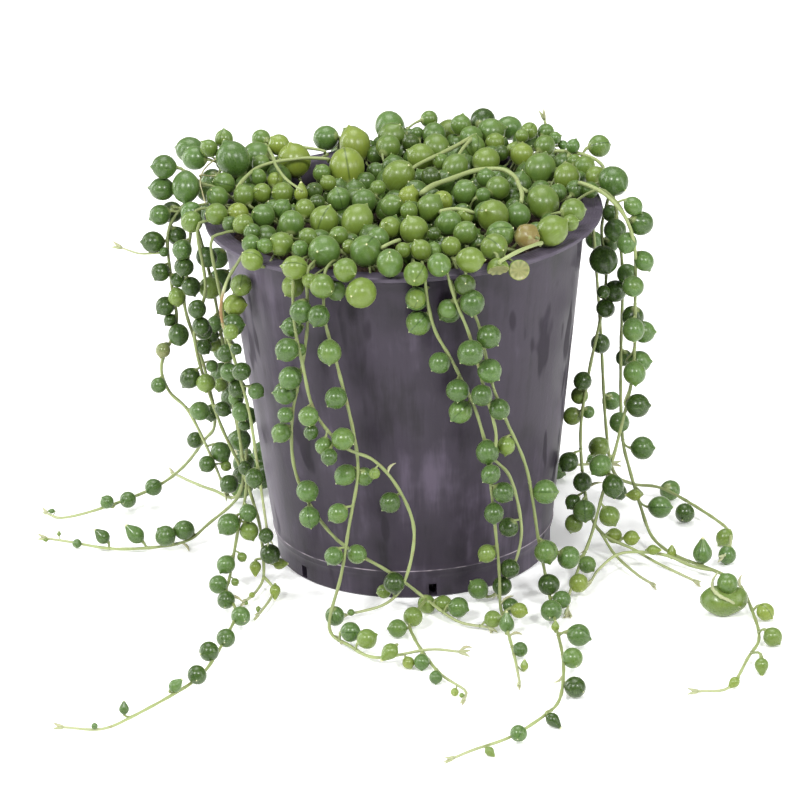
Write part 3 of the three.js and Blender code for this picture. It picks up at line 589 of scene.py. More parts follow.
def pot_gap(centre):
    out, z = reach_of(centre), centre[2]
    flange = POT_HEIGHT - RIM_THICKNESS / 2
    wall = segment_gap((out, z), (BASE_RADIUS, 0), (WALL_TOP_RADIUS, flange)) - 0.1
    rim = segment_gap((out, z), (MOUTH_RADIUS, flange), (RIM_RADIUS, flange)) - RIM_THICKNESS / 2
    is_inside_wall = z < flange and out < wall_radius(z)
    return -1 if is_inside_wall else min(wall, rim)


# Pearls that are placed, as [x, y, z, radius], and how deep two may press into each other
class Placed:
    def __init__(self):
        self.balls = np.zeros((0, 4))

    def overlap(self, centre, radius):
        if not len(self.balls):
            return 0
        gaps = np.linalg.norm(self.balls[:, :3] - centre, axis=1) - self.balls[:, 3] - radius
        return max(0, -gaps.min())

    def take(self, centre, radius):
        self.balls = np.vstack([self.balls, [*centre, radius]])


placed = Placed()
chance = random.Random(SEED)
PEARL_OVERLAP = 0.35
MAT_OVERLAP = 1.1
FILL_OVERLAP = 1.0


def is_clear_of_pot(centre, radius):
    return centre[2] >= radius and pot_gap(centre) >= radius


def is_free(centre, radius, overlap=PEARL_OVERLAP):
    return is_clear_of_pot(centre, radius) and placed.overlap(centre, radius) <= overlap


def place_on_ray(ray, start, radius, offsets, overlap=PEARL_OVERLAP):
    """The first free place on a ray; where all are taken, the first that is clear of the pot."""
    for offset in offsets:
        centre = EYE + ray * (start + offset)
        if is_free(centre, radius, overlap):
            return centre
    while not is_clear_of_pot(EYE + ray * start, radius):
        start -= 0.5
    return EYE + ray * start


def tone_of(words, plain):
    given = [TONES[word] for word in words if word in TONES]
    middle, spread = (given[0], NAMED_TONE_SPREAD) if given else (plain, TONE_SPREAD)
    return min(1, max(0, middle + chance.uniform(-1, 1) * spread))


def picture_tip(words):
    for word in words:
        if word in TIP_SIDES:
            dx, dy = TIP_SIDES[word]
            return unit(RIGHT * dx + UP * dy - FORWARD * 0.3)
    return None


PETIOLE_RADIUS = 0.42
PETIOLE_SWELL = np.array([1.5, 1.05, 0.9, 0.85, 0.9, 1.15, 1.6])


def add_petiole(into, start, along, centre, radius, tip, tone):
    """A short leaf stalk: it leaves the stem at an acute angle and runs into the pearl's base."""
    base = centre - tip * radius * 0.98
    gap = np.linalg.norm(base - start)
    lead = start + along * gap * 0.35
    trail = base - tip * gap * 0.35
    t = np.linspace(0, 1, len(PETIOLE_SWELL))[:, None]
    points = ((1 - t) ** 3 * start + 3 * (1 - t) ** 2 * t * lead
              + 3 * (1 - t) * t ** 2 * trail + t ** 3 * (base + tip * radius * 0.1))
    add_tube(into, points, min(PETIOLE_RADIUS, radius * 0.2) * PETIOLE_SWELL, tone, sides=6)


# A cut pearl is half a ball whose flat, corky face shows; a withered one is shrunk and angular.
CUT_LEVEL = 0.15
CUT_RAYS = 9


def cut_face(local, tones):
    """Flattens the tip's side of a unit pearl to a face with rays and a raised rim."""
    is_face = local[:, 2] > CUT_LEVEL
    out = np.hypot(local[is_face, 0], local[is_face, 1])
    rays = np.cos(CUT_RAYS * np.arctan2(local[is_face, 1], local[is_face, 0]))
    edge = out / out.max()
    local[is_face, 2] = CUT_LEVEL - 0.12 * (1 - edge ** 4) + 0.05 * rays * edge
    tones[is_face] = 0.89 + 0.04 * rays * edge + 0.02 * edge ** 6


def add_spoilt_pearl(into, centre, radius, words):
    points, faces = ROUND_FORM
    local = points.copy()
    tones = np.full(len(points), TONES["cut" if "cut" in words else "withered"])
    facing = unit(-FORWARD + RIGHT * 0.25 - UP * 0.15)
    if "cut" in words:
        cut_face(local, tones)
        if "down" in words:
            facing = unit(-FORWARD * 0.42 + RIGHT * 0.18 - UP)
    else:
        local = np.sign(local) * np.abs(local) ** 0.72
        local *= 1 + 0.09 * np.sin(4.3 * local[:, [1, 2, 0]] + 1.0)
    first = unit(np.cross(facing, UP))
    axes = np.array([first, np.cross(facing, first), facing])
    into.add(centre + (local * (1, 0.96, 0.96)) @ axes * radius, faces, tones, -np.abs(local) * 0.8)


# The two pieces that a pearl and its petiole go to, and the petiole's tone
HANGING = ("stem", "pearls", 0.2)
MAT = ("mat_stems", "mat_pearls", 0.1)


def set_pearl(kind, owner, anchor, along, centre, radius, tip, words, plain, line=None):
    """One pearl on its petiole, from an anchor on the stem."""
    stems, pearls, petiole_tone = kind
    placed.take(centre, radius)
    add_petiole(gathered(stems, owner), anchor, along, centre, radius, tip, petiole_tone)
    tone = tone_of(words, plain)
    if "cut" in words or "withered" in words:
        add_spoilt_pearl(gathered(pearls, owner), centre, radius, words)
    else:
        add_pearl(gathered(pearls, owner), centre, radius, tip, tone, "long" in words, line)


# Points along the stems from the rim on, with what they belong to, for finding a pearl's stem
class StemSamples:
    def __init__(self, trails):
        rows = [
            ((name, branch), i, stem[i], frames[0])
            for name, stems in trails.items() for branch, stem in enumerate(stems)
            for i, frames in enumerate(frames_along(stem))
            if branch or reach_of(stem[i]) >= RIM_RADIUS - 4 or stem[i][2] <= 100
        ]
        self.stems, self.ways, self.points, self.alongs = zip(*rows)
        self.pixels = to_pixels(self.points)

    def nearest(self, x, y):
        return int(np.argmin(np.linalg.norm(self.pixels - (x, y), axis=1)))

    def upstream(self, index, distance):
        other = index - max(0, min(self.ways[index], round(distance / STEM_STEP)))
        return other if other >= 0 and self.stems[other] == self.stems[index] else index


def grow_seen(samples, seen, plain):
    """A seen pearl sits on the ray of its pixel, beside, before or behind the nearest stem."""
    for x, y, r, *text in seen:
        words = " ".join(text).split()
        index = samples.nearest(x, y)
        point = samples.points[index]
        ray = pixel_ray(x, y)
        way = (point - EYE) @ ray
        radius = r * way / FOCAL_PIXELS
        off = np.linalg.norm(EYE + ray * way - point)
        shift = math.sqrt(max(0, (radius + STEM_RADIUS * 0.7) ** 2 - off ** 2))
        side = 1 if "behind" in words else -1
        offsets = [side * shift + s * d for d in np.arange(0, 10, 0.5) for s in (side, -side)]
        centre = place_on_ray(ray, way, radius, offsets)
        start = samples.upstream(index, radius * 1.1)
        anchor = samples.points[start]
        tip = picture_tip(words)
        if tip is None:
            sway = sways(*[(-1, 1)] * 3)
            tip = unit(unit(centre - anchor) + sway * 0.3 + (0, 0, -0.25))
        line = -FORWARD if "line" in words else None
        set_pearl(HANGING, samples.stems[start][0], anchor, samples.alongs[start], centre, radius, tip,
                  words, plain, line)


# One left stem is dry and brown along a stretch around this step.
BROWN_STEM = "trail_left_6"
BROWN_STEP = 35


def add_stems(trails):
    """Stems taper to their tips, and are darker and thinner where they come over the rim."""
    for name, stems in trails.items():
        into = gathered("stem", name)
        for branch, stem in enumerate(stems):
            steps = np.arange(len(stem))
            left = (len(stem) - 1 - steps) * STEM_STEP
            near_tip = np.clip(1 - left / 30, 0, 1)
            swell = 1 + 0.1 * np.sin(steps * 1.3 + len(name)) * (1 - near_tip)
            radii = (STEM_RADIUS - (STEM_RADIUS - TIP_RADIUS) * near_tip) * swell
            tones = 0.18 + 0.46 * np.clip(1 - left / 50, 0, 1)
            if not branch:
                radii = radii * (1 - 0.16 * np.clip(2 - steps / 14, 0, 1))
                tones = tones - 0.12 * np.clip(2 - steps / 20, 0, 1)
            if name == BROWN_STEM:
                tones = tones + 0.74 * np.exp(-((steps - BROWN_STEP) / 6) ** 4)
            add_tube(into, stem, radii, tones)
            add_growing_tip(into, stem)


YOUNG_LEAF = [0.3, 0.5, 0.46, 0.3, 0.08]
YOUNG_LENGTH = 3.2


def add_growing_tip(into, stem):
    """Three young leaves, still folded round the end of the stem."""
    end, along = stem[-1], unit(stem[-1] - stem[-3])
    for k in range(3):
        side = unit(np.cross(along, [math.sin(2.1 * k), math.cos(2.1 * k), 0.4]))
        t = np.linspace(0, 1, len(YOUNG_LEAF))[:, None]
        points = end + along * t * YOUNG_LENGTH + side * (0.25 + 0.9 * t ** 2)
        points[:, 2] = np.maximum(points[:, 2], 0.4)
        add_tube(into, points, YOUNG_LEAF, 0.62 + 0.05 * k, sides=6)


# Stems that the photograph doesn't show carry pearls at uneven steps, turned round the stem.
RULE_START = 16.0
RULE_STEPS = (5.5, 9)
RULE_RADII = (2.9, 4.2)
RULE_TIP_RADIUS = 1.2
RULE_TURNS = (0, 0.7, -0.7, 1.4, -1.4, 2.2)
SMALL_RADIUS = 2.2
LYING_HEIGHT = 8


def grow_by_rule(trails, names, plain):
    for number, name in enumerate(names):
        stem = trails[name][0]
        lines = frames_along(stem)
        length = len(stem) * STEM_STEP
        s = RULE_START
        turn = number * 1.1
        while s < length - 2:
            i = min(int(s / STEM_STEP), len(stem) - 1)
            near_tip = min((length - s) / 30, 1)
            radius = RULE_TIP_RADIUS + (chance.uniform(*RULE_RADII) - RULE_TIP_RADIUS) * near_tip
            turn += GOLDEN_ANGLE
            seat_by_rule(name, stem[i], lines[i][0], radius, turn, plain)
            s += chance.uniform(*RULE_STEPS) * (0.5 + 0.5 * near_tip)


def is_in_open_place(centre):
    x, y = to_pixels(centre)
    return x < OPEN_LEFT[0] and y > OPEN_LEFT[1]


def seat_by_rule(name, point, along, radius, turn, plain):
    """One pearl at a stem's point, turned on round the stem until it finds room."""
    is_lying = point[2] < LYING_HEIGHT or point[2] > POT_HEIGHT
    up = np.array([0, 0, 1.0]) if is_lying else unit([point[0], point[1], 0])
    side = unit(np.cross(along, up))
    for extra in RULE_TURNS:
        a = math.sin(turn + extra) * 1.5
        out = unit(up * math.cos(a) + side * math.sin(a))
        centre = point + out * (radius + STEM_RADIUS * 0.8) + along * 0.3 * radius
        centre[2] = max(centre[2], radius + 0.05)
        if is_in_open_place(centre) or not is_free(centre, radius):
            continue
        anchor = point - along * radius * 0.8
        tip = unit(unit(centre - anchor) + (0, 0, -0.25))
        words = ["long"] if radius < SMALL_RADIUS else []
        set_pearl(HANGING, name, anchor, along, centre, radius, tip, words, plain)
        return


# The mat: seven rooted clumps; a seen pearl lies where its pixel's ray meets the mat's top.
CLUMP_TURN = 20
CLUMP_RING = 29
CLUMP_COUNT = 6
CLUMP_FOOT = 105.4
CLUMPS = np.array([(0, 0, CLUMP_FOOT)] + [
    polar(CLUMP_RING, CLUMP_TURN + i * 360 / CLUMP_COUNT, CLUMP_FOOT) for i in range(CLUMP_COUNT)])

# What the photograph shows past the rim hangs on it where it is in front of this y.
FRONT_EDGE = -20


def mat_level(point):
    return MAT_HEIGHT - MAT_EDGE_DROP * (reach_of(point) / MAT_RADIUS) ** 2


def meet_mat(ray, radius):
    """The way along a ray to the mat's top, for a pearl whose middle lies a little under it."""
    level = MAT_HEIGHT
    for _ in range(4):
        way = (level - radius * 0.2 - EYE[2]) / ray[2]
        level = mat_level(EYE + ray * way)
    return way


def meet_cylinder(ray, radius):
    """The way along a ray to a cylinder round the pot's axis; None where the ray passes it."""
    a = ray[0] ** 2 + ray[1] ** 2
    b = EYE[0] * ray[0] + EYE[1] * ray[1]
    c = EYE[0] ** 2 + EYE[1] ** 2 - radius ** 2
    inner = b * b - a * c
    return (-b - math.sqrt(inner)) / a if inner > 0 else None


def clump_of(point):
    return int(np.argmin(np.linalg.norm(CLUMPS[:, :2] - point[:2], axis=1)))


def add_mat_pearl(centre, radius, words, tip=None):
    """A pearl of the mat, on a petiole from further in; past the mouth it comes over the rim."""
    reach = reach_of(centre)
    share = min(0.82, (MOUTH_RADIUS - 3) / max(reach, 1))
    level = POT_HEIGHT + 2.5 if reach > MOUTH_RADIUS else max(SOIL_TOP + 4, centre[2] - radius * 2)
    anchor = np.array([centre[0] * share, centre[1] * share, level])
    along = unit(centre - anchor)
    if tip is None:
        tip = unit(along * 0.8 + sways((-1, 1), (-1, 1), (-0.4, 0.9)))
    line = unit(-FORWARD + (0, 0, 0.5)) if "line" in words else None
    set_pearl(MAT, clump_of(centre), anchor, along, centre, radius, tip, words, MAT_TONE, line)


def grow_seen_mat(samples):
    """Seen pearls of the mat; those past the rim hang on it in front, or else on a stem."""
    aside = []
    for x, y, r, *text in sorted(SEEN_MAT, key=lambda seen: -seen[1]):
        words = " ".join(text).split()
        ray = pixel_ray(x, y)
        way = meet_mat(ray, r / MAT_PIXELS_PER_MM)
        radius = r * way / FOCAL_PIXELS
        point = EYE + ray * way
        if reach_of(point) > RIM_RADIUS + 2:
            is_in_front = point[1] <= FRONT_EDGE
            way = meet_cylinder(ray, RIM_RADIUS + radius * 0.85 + 0.3) if is_in_front else None
            if way is None:
                aside.append((x, y, r, *text))
                continue
        first = 4 if "behind" in words else 0
        offsets = first + np.arange(0, 20, 0.5)
        centre = place_on_ray(ray, way, radius, offsets, MAT_OVERLAP)
        add_mat_pearl(centre, radius, words, picture_tip(words))
    grow_seen(samples, aside, MAT_TONE)


# The fill: its layers, and the y behind which the photograph doesn't show the top one
FILL_LAYERS = (0, -3.5, -7)
FILL_TRIES = 650
FILL_RADII = (2.8, 4.6)
FILL_SHOWN = 40
RIM_TRIES = 150
RIM_RADII = (2.9, 4.5)
RIM_AZIMUTHS = (12, 172)
RIM_DROP = 22


def is_bare(centre):
    x, y = to_pixels(centre)
    return any(math.hypot(x - a, y - b) < BARE_REACH for a, b in BARE_SPOTS)


def fill_mat():
    """Under and behind what the photograph shows, pearls are packed in layers; the lower layers are
    darker, as painted shade.
    """
    for layer, level in enumerate(FILL_LAYERS):
        for _ in range(FILL_TRIES):
            out = (MAT_RADIUS - 1) * math.sqrt(chance.random())
            azimuth = chance.uniform(0, 360)
            radius = chance.uniform(*FILL_RADII)
            centre = np.array(polar(out, azimuth, 0))
            centre[2] = mat_level(centre) + level - chance.uniform(0, 2.5)
            if out > MOUTH_RADIUS - 4 and layer:
                radius = radius * 0.75
                centre[2] = POT_HEIGHT + radius + 0.3
                if centre[1] < 6:
                    continue
            is_shown = layer == 0 and centre[1] < FILL_SHOWN
            is_low = centre[2] < SOIL_TOP + radius
            if is_shown or is_low or is_bare(centre) or not is_free(centre, radius, FILL_OVERLAP):
                continue
            # The lower layers take the deep tone: painted shade under the mat's top pearls.
            add_mat_pearl(centre, radius, ["deep"] if layer else [])


def fill_rim():
    """Pearls that hang over the rim behind, where the photograph doesn't look."""
    for _ in range(RIM_TRIES):
        azimuth = chance.uniform(*RIM_AZIMUTHS)
        radius = chance.uniform(*RIM_RADII)
        drop = chance.uniform(0, 1) ** 1.6 * RIM_DROP
        out = RIM_RADIUS + radius * (0.3 if drop < 4 else 1.05) + 0.4
        centre = np.array(polar(out, azimuth, POT_HEIGHT + radius + 3 - drop))
        if is_bare(centre) or not is_free(centre, radius):
            continue
        pixel_x = to_pixels(centre)[0]
        is_at_side = pixel_x < MAT_SIDES[0] or pixel_x > MAT_SIDES[1]
        if not is_at_side or centre[1] > 30:
            add_mat_pearl(centre, radius, [])


# Arches thinner than this, in pixels of half thickness, are dry fibres.
FIBRE_HALF = 1.5
FIBRE_TONE = 0.76
ARCH_TONE = 0.3


def add_arches(samples):
    """Stems that show on the mat, with both ends led down into it."""
    for half, pixels in SEEN_ARCHES:
        points = []
        for x, y in pixels:
            ray = pixel_ray(x, y)
            way = meet_mat(ray, 0)
            point = EYE + ray * way
            if reach_of(point) > RIM_RADIUS + 3:
                hit = meet_cylinder(ray, RIM_RADIUS + 5) if point[1] < FRONT_EDGE else None
                way = hit or (samples.points[samples.nearest(x, y)] - EYE) @ ray
            points.append(EYE + ray * (way - ARCH_RISE))
        first, last = (end + FORWARD * 7 - (0, 0, 0.5) for end in (points[0], points[-1]))
        curve = smooth([first, *points, last])
        radius = half * CAMERA_DISTANCE / FOCAL_PIXELS
        swell = 1 + 0.07 * np.sin(np.arange(len(curve)) * 0.9)
        radii = radius * np.linspace(1.1, 0.75, len(curve)) * swell
        into = gathered("mat_stems", clump_of(points[len(points) // 2]))
        add_tube(into, curve, radii, FIBRE_TONE if half < FIBRE_HALF else ARCH_TONE)


def add_bud():
    """A young shoot that stands up from a pearl at the back of the mat."""
    pixels = to_pixels(placed.balls[:, :3])
    nearest = placed.balls[np.argmin(np.linalg.norm(pixels - BUD_PIXEL, axis=1))]
    top = nearest[:3] + (0, 0, nearest[3] - 0.6)
    shoot = np.array([top, top + (-0.2, 0, 1), top + (-0.4, 0, 2)])
    into = gathered("mat_stems", clump_of(top))
    add_tube(into, shoot, [TIP_RADIUS] * 3, 0.5)
    add_growing_tip(into, shoot)


def add_side_shoot(samples):
    """A thin faded shoot that leaves the left stems outwards."""
    index = samples.nearest(*SIDE_SHOOT[0])
    start = samples.points[index]
    rays = [pixel_ray(x, y) for x, y in SIDE_SHOOT]
    curve = smooth([start] + [EYE + ray * ((start - EYE) @ ray) for ray in rays])
    into = gathered("stem", samples.stems[index][0])
    add_tube(into, curve, np.linspace(0.4, 0.3, len(curve)), np.linspace(0.4, 0.72, len(curve)))
    add_growing_tip(into, curve)


CREEP_COUNT = 7
CREEP_RADIUS = 0.62
CREEP_TONE = 0.15
CREEP_LEVEL = 103.5
CREEP_REACH = 50


def creep_stems():
    """Creeping stems that tie each clump's pearls together over the soil."""
    for owner, clump in enumerate(CLUMPS):
        for _ in range(CREEP_COUNT):
            azimuth = chance.uniform(0, 2 * math.pi)
            reach = chance.uniform(9, 17)
            route = [(clump[0], clump[1], SOIL_TOP - HOLE_DEPTH + 1), clump - (0, 0, 2)]
            for step in (0.35, 0.7, 1):
                bend = azimuth + step * chance.uniform(-0.9, 0.9)
                at = clump[:2] + np.array([math.cos(bend), math.sin(bend)]) * reach * step
                x, y = at / max(1, reach_of(at) / CREEP_REACH)
                route.append((x, y, CREEP_LEVEL + chance.uniform(-0.5, 6) * step))
            curve = smooth(route)
            into = gathered("mat_stems", owner)
            add_tube(into, curve, np.full(len(curve), CREEP_RADIUS), CREEP_TONE)


# Small things on the stems: a crushed pod, and dry remains of leaves with their place in the
# photograph, their length and their angle there.
POD_STEM = "trail_right_2"
POD_PIXEL = (724, 599)
POD_SIZE = np.array([6.9, 5.0, 5.1])
POD_LIP = [(718, 572), (713, 580), (713, 589), (720, 596), (730, 601), (741, 608)]
REMAINS = [
    (379.5, 483, 4, 0.9), (211, 605, 5, -0.4), (235, 493, 4, 0.8), (185, 548, 4, -0.9),
    (566, 493, 6, 0.4), (324, 641, 4, -0.9), (491, 634, 3, -1.4), (522, 632, 4, 0.1),
    (540, 637, 8, -0.2), (558, 672, 4, -2.4), (568, 608, 5, -1.9), (595, 543, 4, -2.3),
    (485, 605, 5, 0.6), (459, 645, 4, 0.3), (747, 584, 4, 1.5), (580, 612, 5, -1.5),
]
REMAINS_RADII = [0.4, 0.34, 0.5, 0.45, 0.3, 0.1]


def on_pod(ray, centre):
    """Where a ray meets the pod's ellipsoid first, or comes nearest to it."""
    start, along = (EYE - centre) / POD_SIZE, ray / POD_SIZE
    length = along @ along
    middle = -(start @ along) / length
    inner = max(0, middle ** 2 - (start @ start - 1) / length)
    return EYE + ray * (middle - math.sqrt(inner) - 0.1)


def add_pod():
    """A soft pod pressed open: plump, with a sunken mouth, pale lips and a fresh pearl in it."""
    ray = pixel_ray(*POD_PIXEL)
    centre = EYE + ray * ((POD_SIZE[2] - EYE[2]) / ray[2])
    points, faces = ROUND_FORM
    local = points.copy()
    local[:, 2] = np.clip(local[:, 2], -0.96, 0.97)
    mouth = np.exp(-((local[:, 0] - 0.05) / 0.45) ** 2) * np.clip((local[:, 2] + 0.1) / 0.9, 0, 1)
    local[:, 2] -= 0.3 * mouth
    local *= 1 + 0.06 * np.sin(5 * local[:, [1, 2, 0]] + 2)
    marks = points * 0.85
    marks[:, 0] = -np.abs(marks[:, 0])
    skin = gathered("pearls", POD_STEM)
    skin.add(centre + local * POD_SIZE, faces, 0.42 + 0.2 * mouth, marks)
    fresh = centre + UP * 4.7 + RIGHT * 0.9 - FORWARD * 2.6
    add_pearl(skin, fresh, 3.1, unit(UP * 0.8 - RIGHT * 0.5), 0.36)
    curve = smooth([on_pod(pixel_ray(x, y), centre) for x, y in POD_LIP], 0.7)
    swell = np.sin(np.linspace(0.25, 3.0, len(curve)))
    radii = 0.5 * swell * (1 + 0.2 * np.sin(2.1 * np.arange(len(curve)))) + 0.1
    add_tube(gathered("stem", POD_STEM), curve, radii, 0.62, sides=6)


def add_remains(samples):
    for x, y, length, angle in REMAINS:
        index = samples.nearest(x, y)
        out = unit(RIGHT * math.cos(angle) + UP * math.sin(angle) - FORWARD * 0.2)
        t = np.linspace(0, 1, len(REMAINS_RADII))[:, None]
        curl = np.cross(out, FORWARD) * 0.8 * np.sin(t * 3)
        points = samples.points[index] + out * t * length + curl
        points[:, 2] = np.maximum(points[:, 2], 0.35)
        into = gathered("stem", samples.stems[index][0])
        add_tube(into, points, REMAINS_RADII, 0.72, sides=5)


# Pot: a lathe with the CAD node's sizes, soft edges, fine rings on its flange, a crease line
# near the foot and the drain notches.
POT_SIDES = 240
CREASE_HEIGHT = 9.3
CREASE_RELIEF = 0.18
RING_RELIEF = 0.12
SHARP_ANGLE = math.radians(40)
NOTCH_HALF_WIDTH = 1.2
NOTCH_HALF_DEPTH = 4.5
NOTCH_FOOT = 0.7
BOX_FACES = [(0, 1, 3, 2), (4, 6, 7, 5), (0, 4, 5, 1), (2, 3, 7, 6), (0, 2, 6, 4), (1, 5, 7, 3)]


def pot_profile():
    """Radii and heights: from the floor's top up the inside, over the rim, down and under."""
    flange = POT_HEIGHT - RIM_THICKNESS
    points = [(inner_radius(2) - 1, FLOOR_THICKNESS)]
    points += [(inner_radius(z), z) for z in (4, 40, 70, 100)]
    points += [(MOUTH_RADIUS, POT_HEIGHT - 0.5), (MOUTH_RADIUS + 0.3, POT_HEIGHT - 0.1)]
    for r in reversed(np.arange(RIM_RADIUS - 1, MOUTH_RADIUS + 0.6, -0.25)):
        points.append((r, POT_HEIGHT - RING_RELIEF * (0.5 + 0.5 * math.cos(2 * math.pi * r))))
    points += [(RIM_RADIUS - 0.5, POT_HEIGHT), (RIM_RADIUS - 0.12, POT_HEIGHT - 0.2)]
    points += [(RIM_RADIUS, flange + 0.7), (RIM_RADIUS - 0.1, flange + 0.25)]
    points += [(RIM_RADIUS - 0.5, flange), (wall_radius(flange) + 0.5, flange - 0.1)]
    points += [(wall_radius(flange) + 0.05, flange - 0.8)]
    points += [(wall_radius(z), z) for z in reversed(np.arange(12, flange - 1.5, 4))]
    for off, relief in ((0.25, 0), (0, CREASE_RELIEF), (-0.25, 0)):
        points.append((wall_radius(CREASE_HEIGHT + off) + relief, CREASE_HEIGHT + off))
    points += [(wall_radius(7.8), 7.8), (wall_radius(7.3) - 0.1, 7.3)]
    points += [(wall_radius(z) - 0.5 * z / FOOT_HEIGHT, z) for z in (6.4, 5, 3.5, 2)]
    points += [(wall_radius(0.5), 0.5), (BASE_RADIUS - 0.4, 0), (BASE_RADIUS - 3, 0)]
    return points + [(BASE_RADIUS - 4, 0.4)]


def circle(radius, z, sides):
    return [polar(radius, 360 * k / sides, z) for k in range(sides)]


def make_pot():
    rings = [circle(radius, z, POT_SIDES) for radius, z in pot_profile()]
    points, faces = closed_form((0, 0, FLOOR_THICKNESS), rings, (0, 0, 0.4))
    piece = link("pot_shell", new_mesh("pot_shell", points, faces))
    cut_notches(piece)
    dress(piece.data, plastic())
    piece.data.set_sharp_from_angle(angle=SHARP_ANGLE)
    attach(piece, "root")
    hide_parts("pot")


def notch_box(azimuth):
    """The box that a notch is cut with, at the pot's bottom edge."""
    middle = BASE_RADIUS - 1
    turn = Matrix.Rotation(azimuth, 3, "Z")
    corners = [
        turn @ Vector((x, y, z)) for x in (middle - NOTCH_HALF_DEPTH, middle + NOTCH_HALF_DEPTH)
        for y in (-NOTCH_HALF_WIDTH, NOTCH_HALF_WIDTH) for z in (NOTCH_FOOT, DRAIN["height"])
    ]
    return new_mesh("notch", corners, BOX_FACES)


def cut_notches(piece):
    for i in range(DRAIN["count"]):
        azimuth = math.radians(DRAIN["first_deg"] + i * 360 / DRAIN["count"])
        cutter = link("notch", notch_box(azimuth))
        cut = piece.modifiers.new("notch", "BOOLEAN")
        cut.operation = "DIFFERENCE"
        cut.solver = "EXACT"
        cut.object = cutter
        graph = bpy.context.evaluated_depsgraph_get()
        cut_mesh = bpy.data.meshes.new_from_object(piece.evaluated_get(graph))
        piece.modifiers.clear()
        piece.data = cut_mesh
        bpy.data.objects.remove(cutter)


# Soil: its rings over the top, then two lower ones inside the pot, with height and inset
SOIL_RINGS = 60
SOIL_SIDES = 180
SOIL_CROWN = 1.2
SOIL_GAP = 0.35
SOIL_CRUMBS = 0.45
SOIL_LOWER = [(9, SOIL_GAP), (2.35, 6)]


def make_soil():
    """Crowned, crumbly potting soil that meets the pot's inside."""
    lumps = random.Random(SEED + 1)
    edge = inner_radius(SOIL_TOP) - SOIL_GAP
    rings = []
    for i in range(1, SOIL_RINGS + 1):
        share = i / SOIL_RINGS
        ring = np.array(circle(edge * share, SOIL_TOP + SOIL_CROWN * (1 - share), SOIL_SIDES))
        ring[:, 2] += 0.5 * np.sin(0.31 * ring[:, 0] + 1) * np.cos(0.27 * ring[:, 1])
        ring[:, 2] += [lumps.uniform(-SOIL_CRUMBS, SOIL_CRUMBS) for _ in ring]
        rings.append(ring)
    rings += [circle(inner_radius(z) - inset, z, SOIL_SIDES) for z, inset in SOIL_LOWER]
    points, faces = closed_form((0, 0, SOIL_TOP + SOIL_CROWN), rings, (0, 0, SOIL_LOWER[-1][0]))
    piece = link("soil_surface", new_mesh("soil_surface", points, faces))
    dress(piece.data, soil_mix())
    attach(piece, "root")
    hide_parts("soil")


# Materials
def linear(red, green, blue):
    def channel(value):
        value /= 255
        return value / 12.92 if value <= 0.04045 else ((value + 0.055) / 1.055) ** 2.4
    return (channel(red), channel(green), channel(blue), 1)


class Nodes:
    """A material's nodes, made by name and joined by sockets."""

    def __init__(self, name):
        self.material = bpy.data.materials.new(name)
        self.material.use_nodes = True
        self.tree = self.material.node_tree
        self.tree.nodes.clear()
        self.shader = self.tree.nodes.new("ShaderNodeBsdfPrincipled")
        output = self.tree.nodes.new("ShaderNodeOutputMaterial")
        self.put(output.inputs[0], self.shader.outputs[0])

    def put(self, socket, value):
        if isinstance(value, bpy.types.NodeSocket):
            self.tree.links.new(value, socket)
        else:
            socket.default_value = value

    def node(self, kind, **values):
        made = self.tree.nodes.new(kind)
        for key, value in values.items():
            self.put(made.inputs[key.replace("_", " ")], value)
        return made

    def noise(self, vector, scale, detail=3, roughness=0.55):
        made = self.node("ShaderNodeTexNoise", Vector=vector, Scale=scale, Detail=detail,
                         Roughness=roughness)
        return made.outputs["Fac"]

    def at(self):
        """The place on the object, in metres."""
        return self.tree.nodes.new("ShaderNodeTexCoord").outputs["Object"]

    def attribute(self, name, output):
        made = self.tree.nodes.new("ShaderNodeAttribute")
        made.attribute_name = name
        return made.outputs[output]

    def stretch(self, vector, scale):
        return self.node("ShaderNodeMapping", Vector=vector, Scale=scale).outputs[0]

    def parts(self, vector):
        return self.node("ShaderNodeSeparateXYZ", Vector=vector).outputs

    def ramp(self, factor, stops, interpolation="EASE"):
        made = self.node("ShaderNodeValToRGB", Fac=factor)
        made.color_ramp.interpolation = interpolation
        elements = made.color_ramp.elements
        elements[0].position, elements[0].color = stops[0]
        elements[1].position, elements[1].color = stops[-1]
        for position, colour in stops[1:-1]:
            elements.new(position).color = colour
        return made.outputs["Color"]

    def span(self, value, low, high, to_low=0.0, to_high=1.0):
        made = self.node("ShaderNodeMapRange", Value=value, From_Min=low, From_Max=high,
                         To_Min=to_low, To_Max=to_high)
        made.clamp = True
        made.interpolation_type = "SMOOTHSTEP"
        return made.outputs[0]

    def math(self, operation, a, b=0.0):
        made = self.tree.nodes.new("ShaderNodeMath")
        made.operation = operation
        self.put(made.inputs[0], a)
        self.put(made.inputs[1], b)
        return made.outputs[0]

    def add(self, a, b):
        return self.math("ADD", a, b)

    def times(self, a, b):
        return self.math("MULTIPLY", a, b)

    def varied(self, value, noise, amount):
        """A value that goes up and down with a noise whose middle is one half."""
        return self.add(value, self.times(self.math("SUBTRACT", noise, 0.5), amount))

    def mix(self, factor, a, b):
        made = self.tree.nodes.new("ShaderNodeMix")
        made.data_type = "RGBA"
        for index, value in ((0, factor), (6, a), (7, b)):
            self.put(made.inputs[index], value)
        return made.outputs[2]

    def bump(self, height, strength, distance):
        made = self.node("ShaderNodeBump", Height=height, Strength=strength, Distance=distance)
        self.set(Normal=made.outputs[0])

    def set(self, **values):
        for key, value in values.items():
            self.put(self.shader.inputs[key.replace("_", " ")], value)


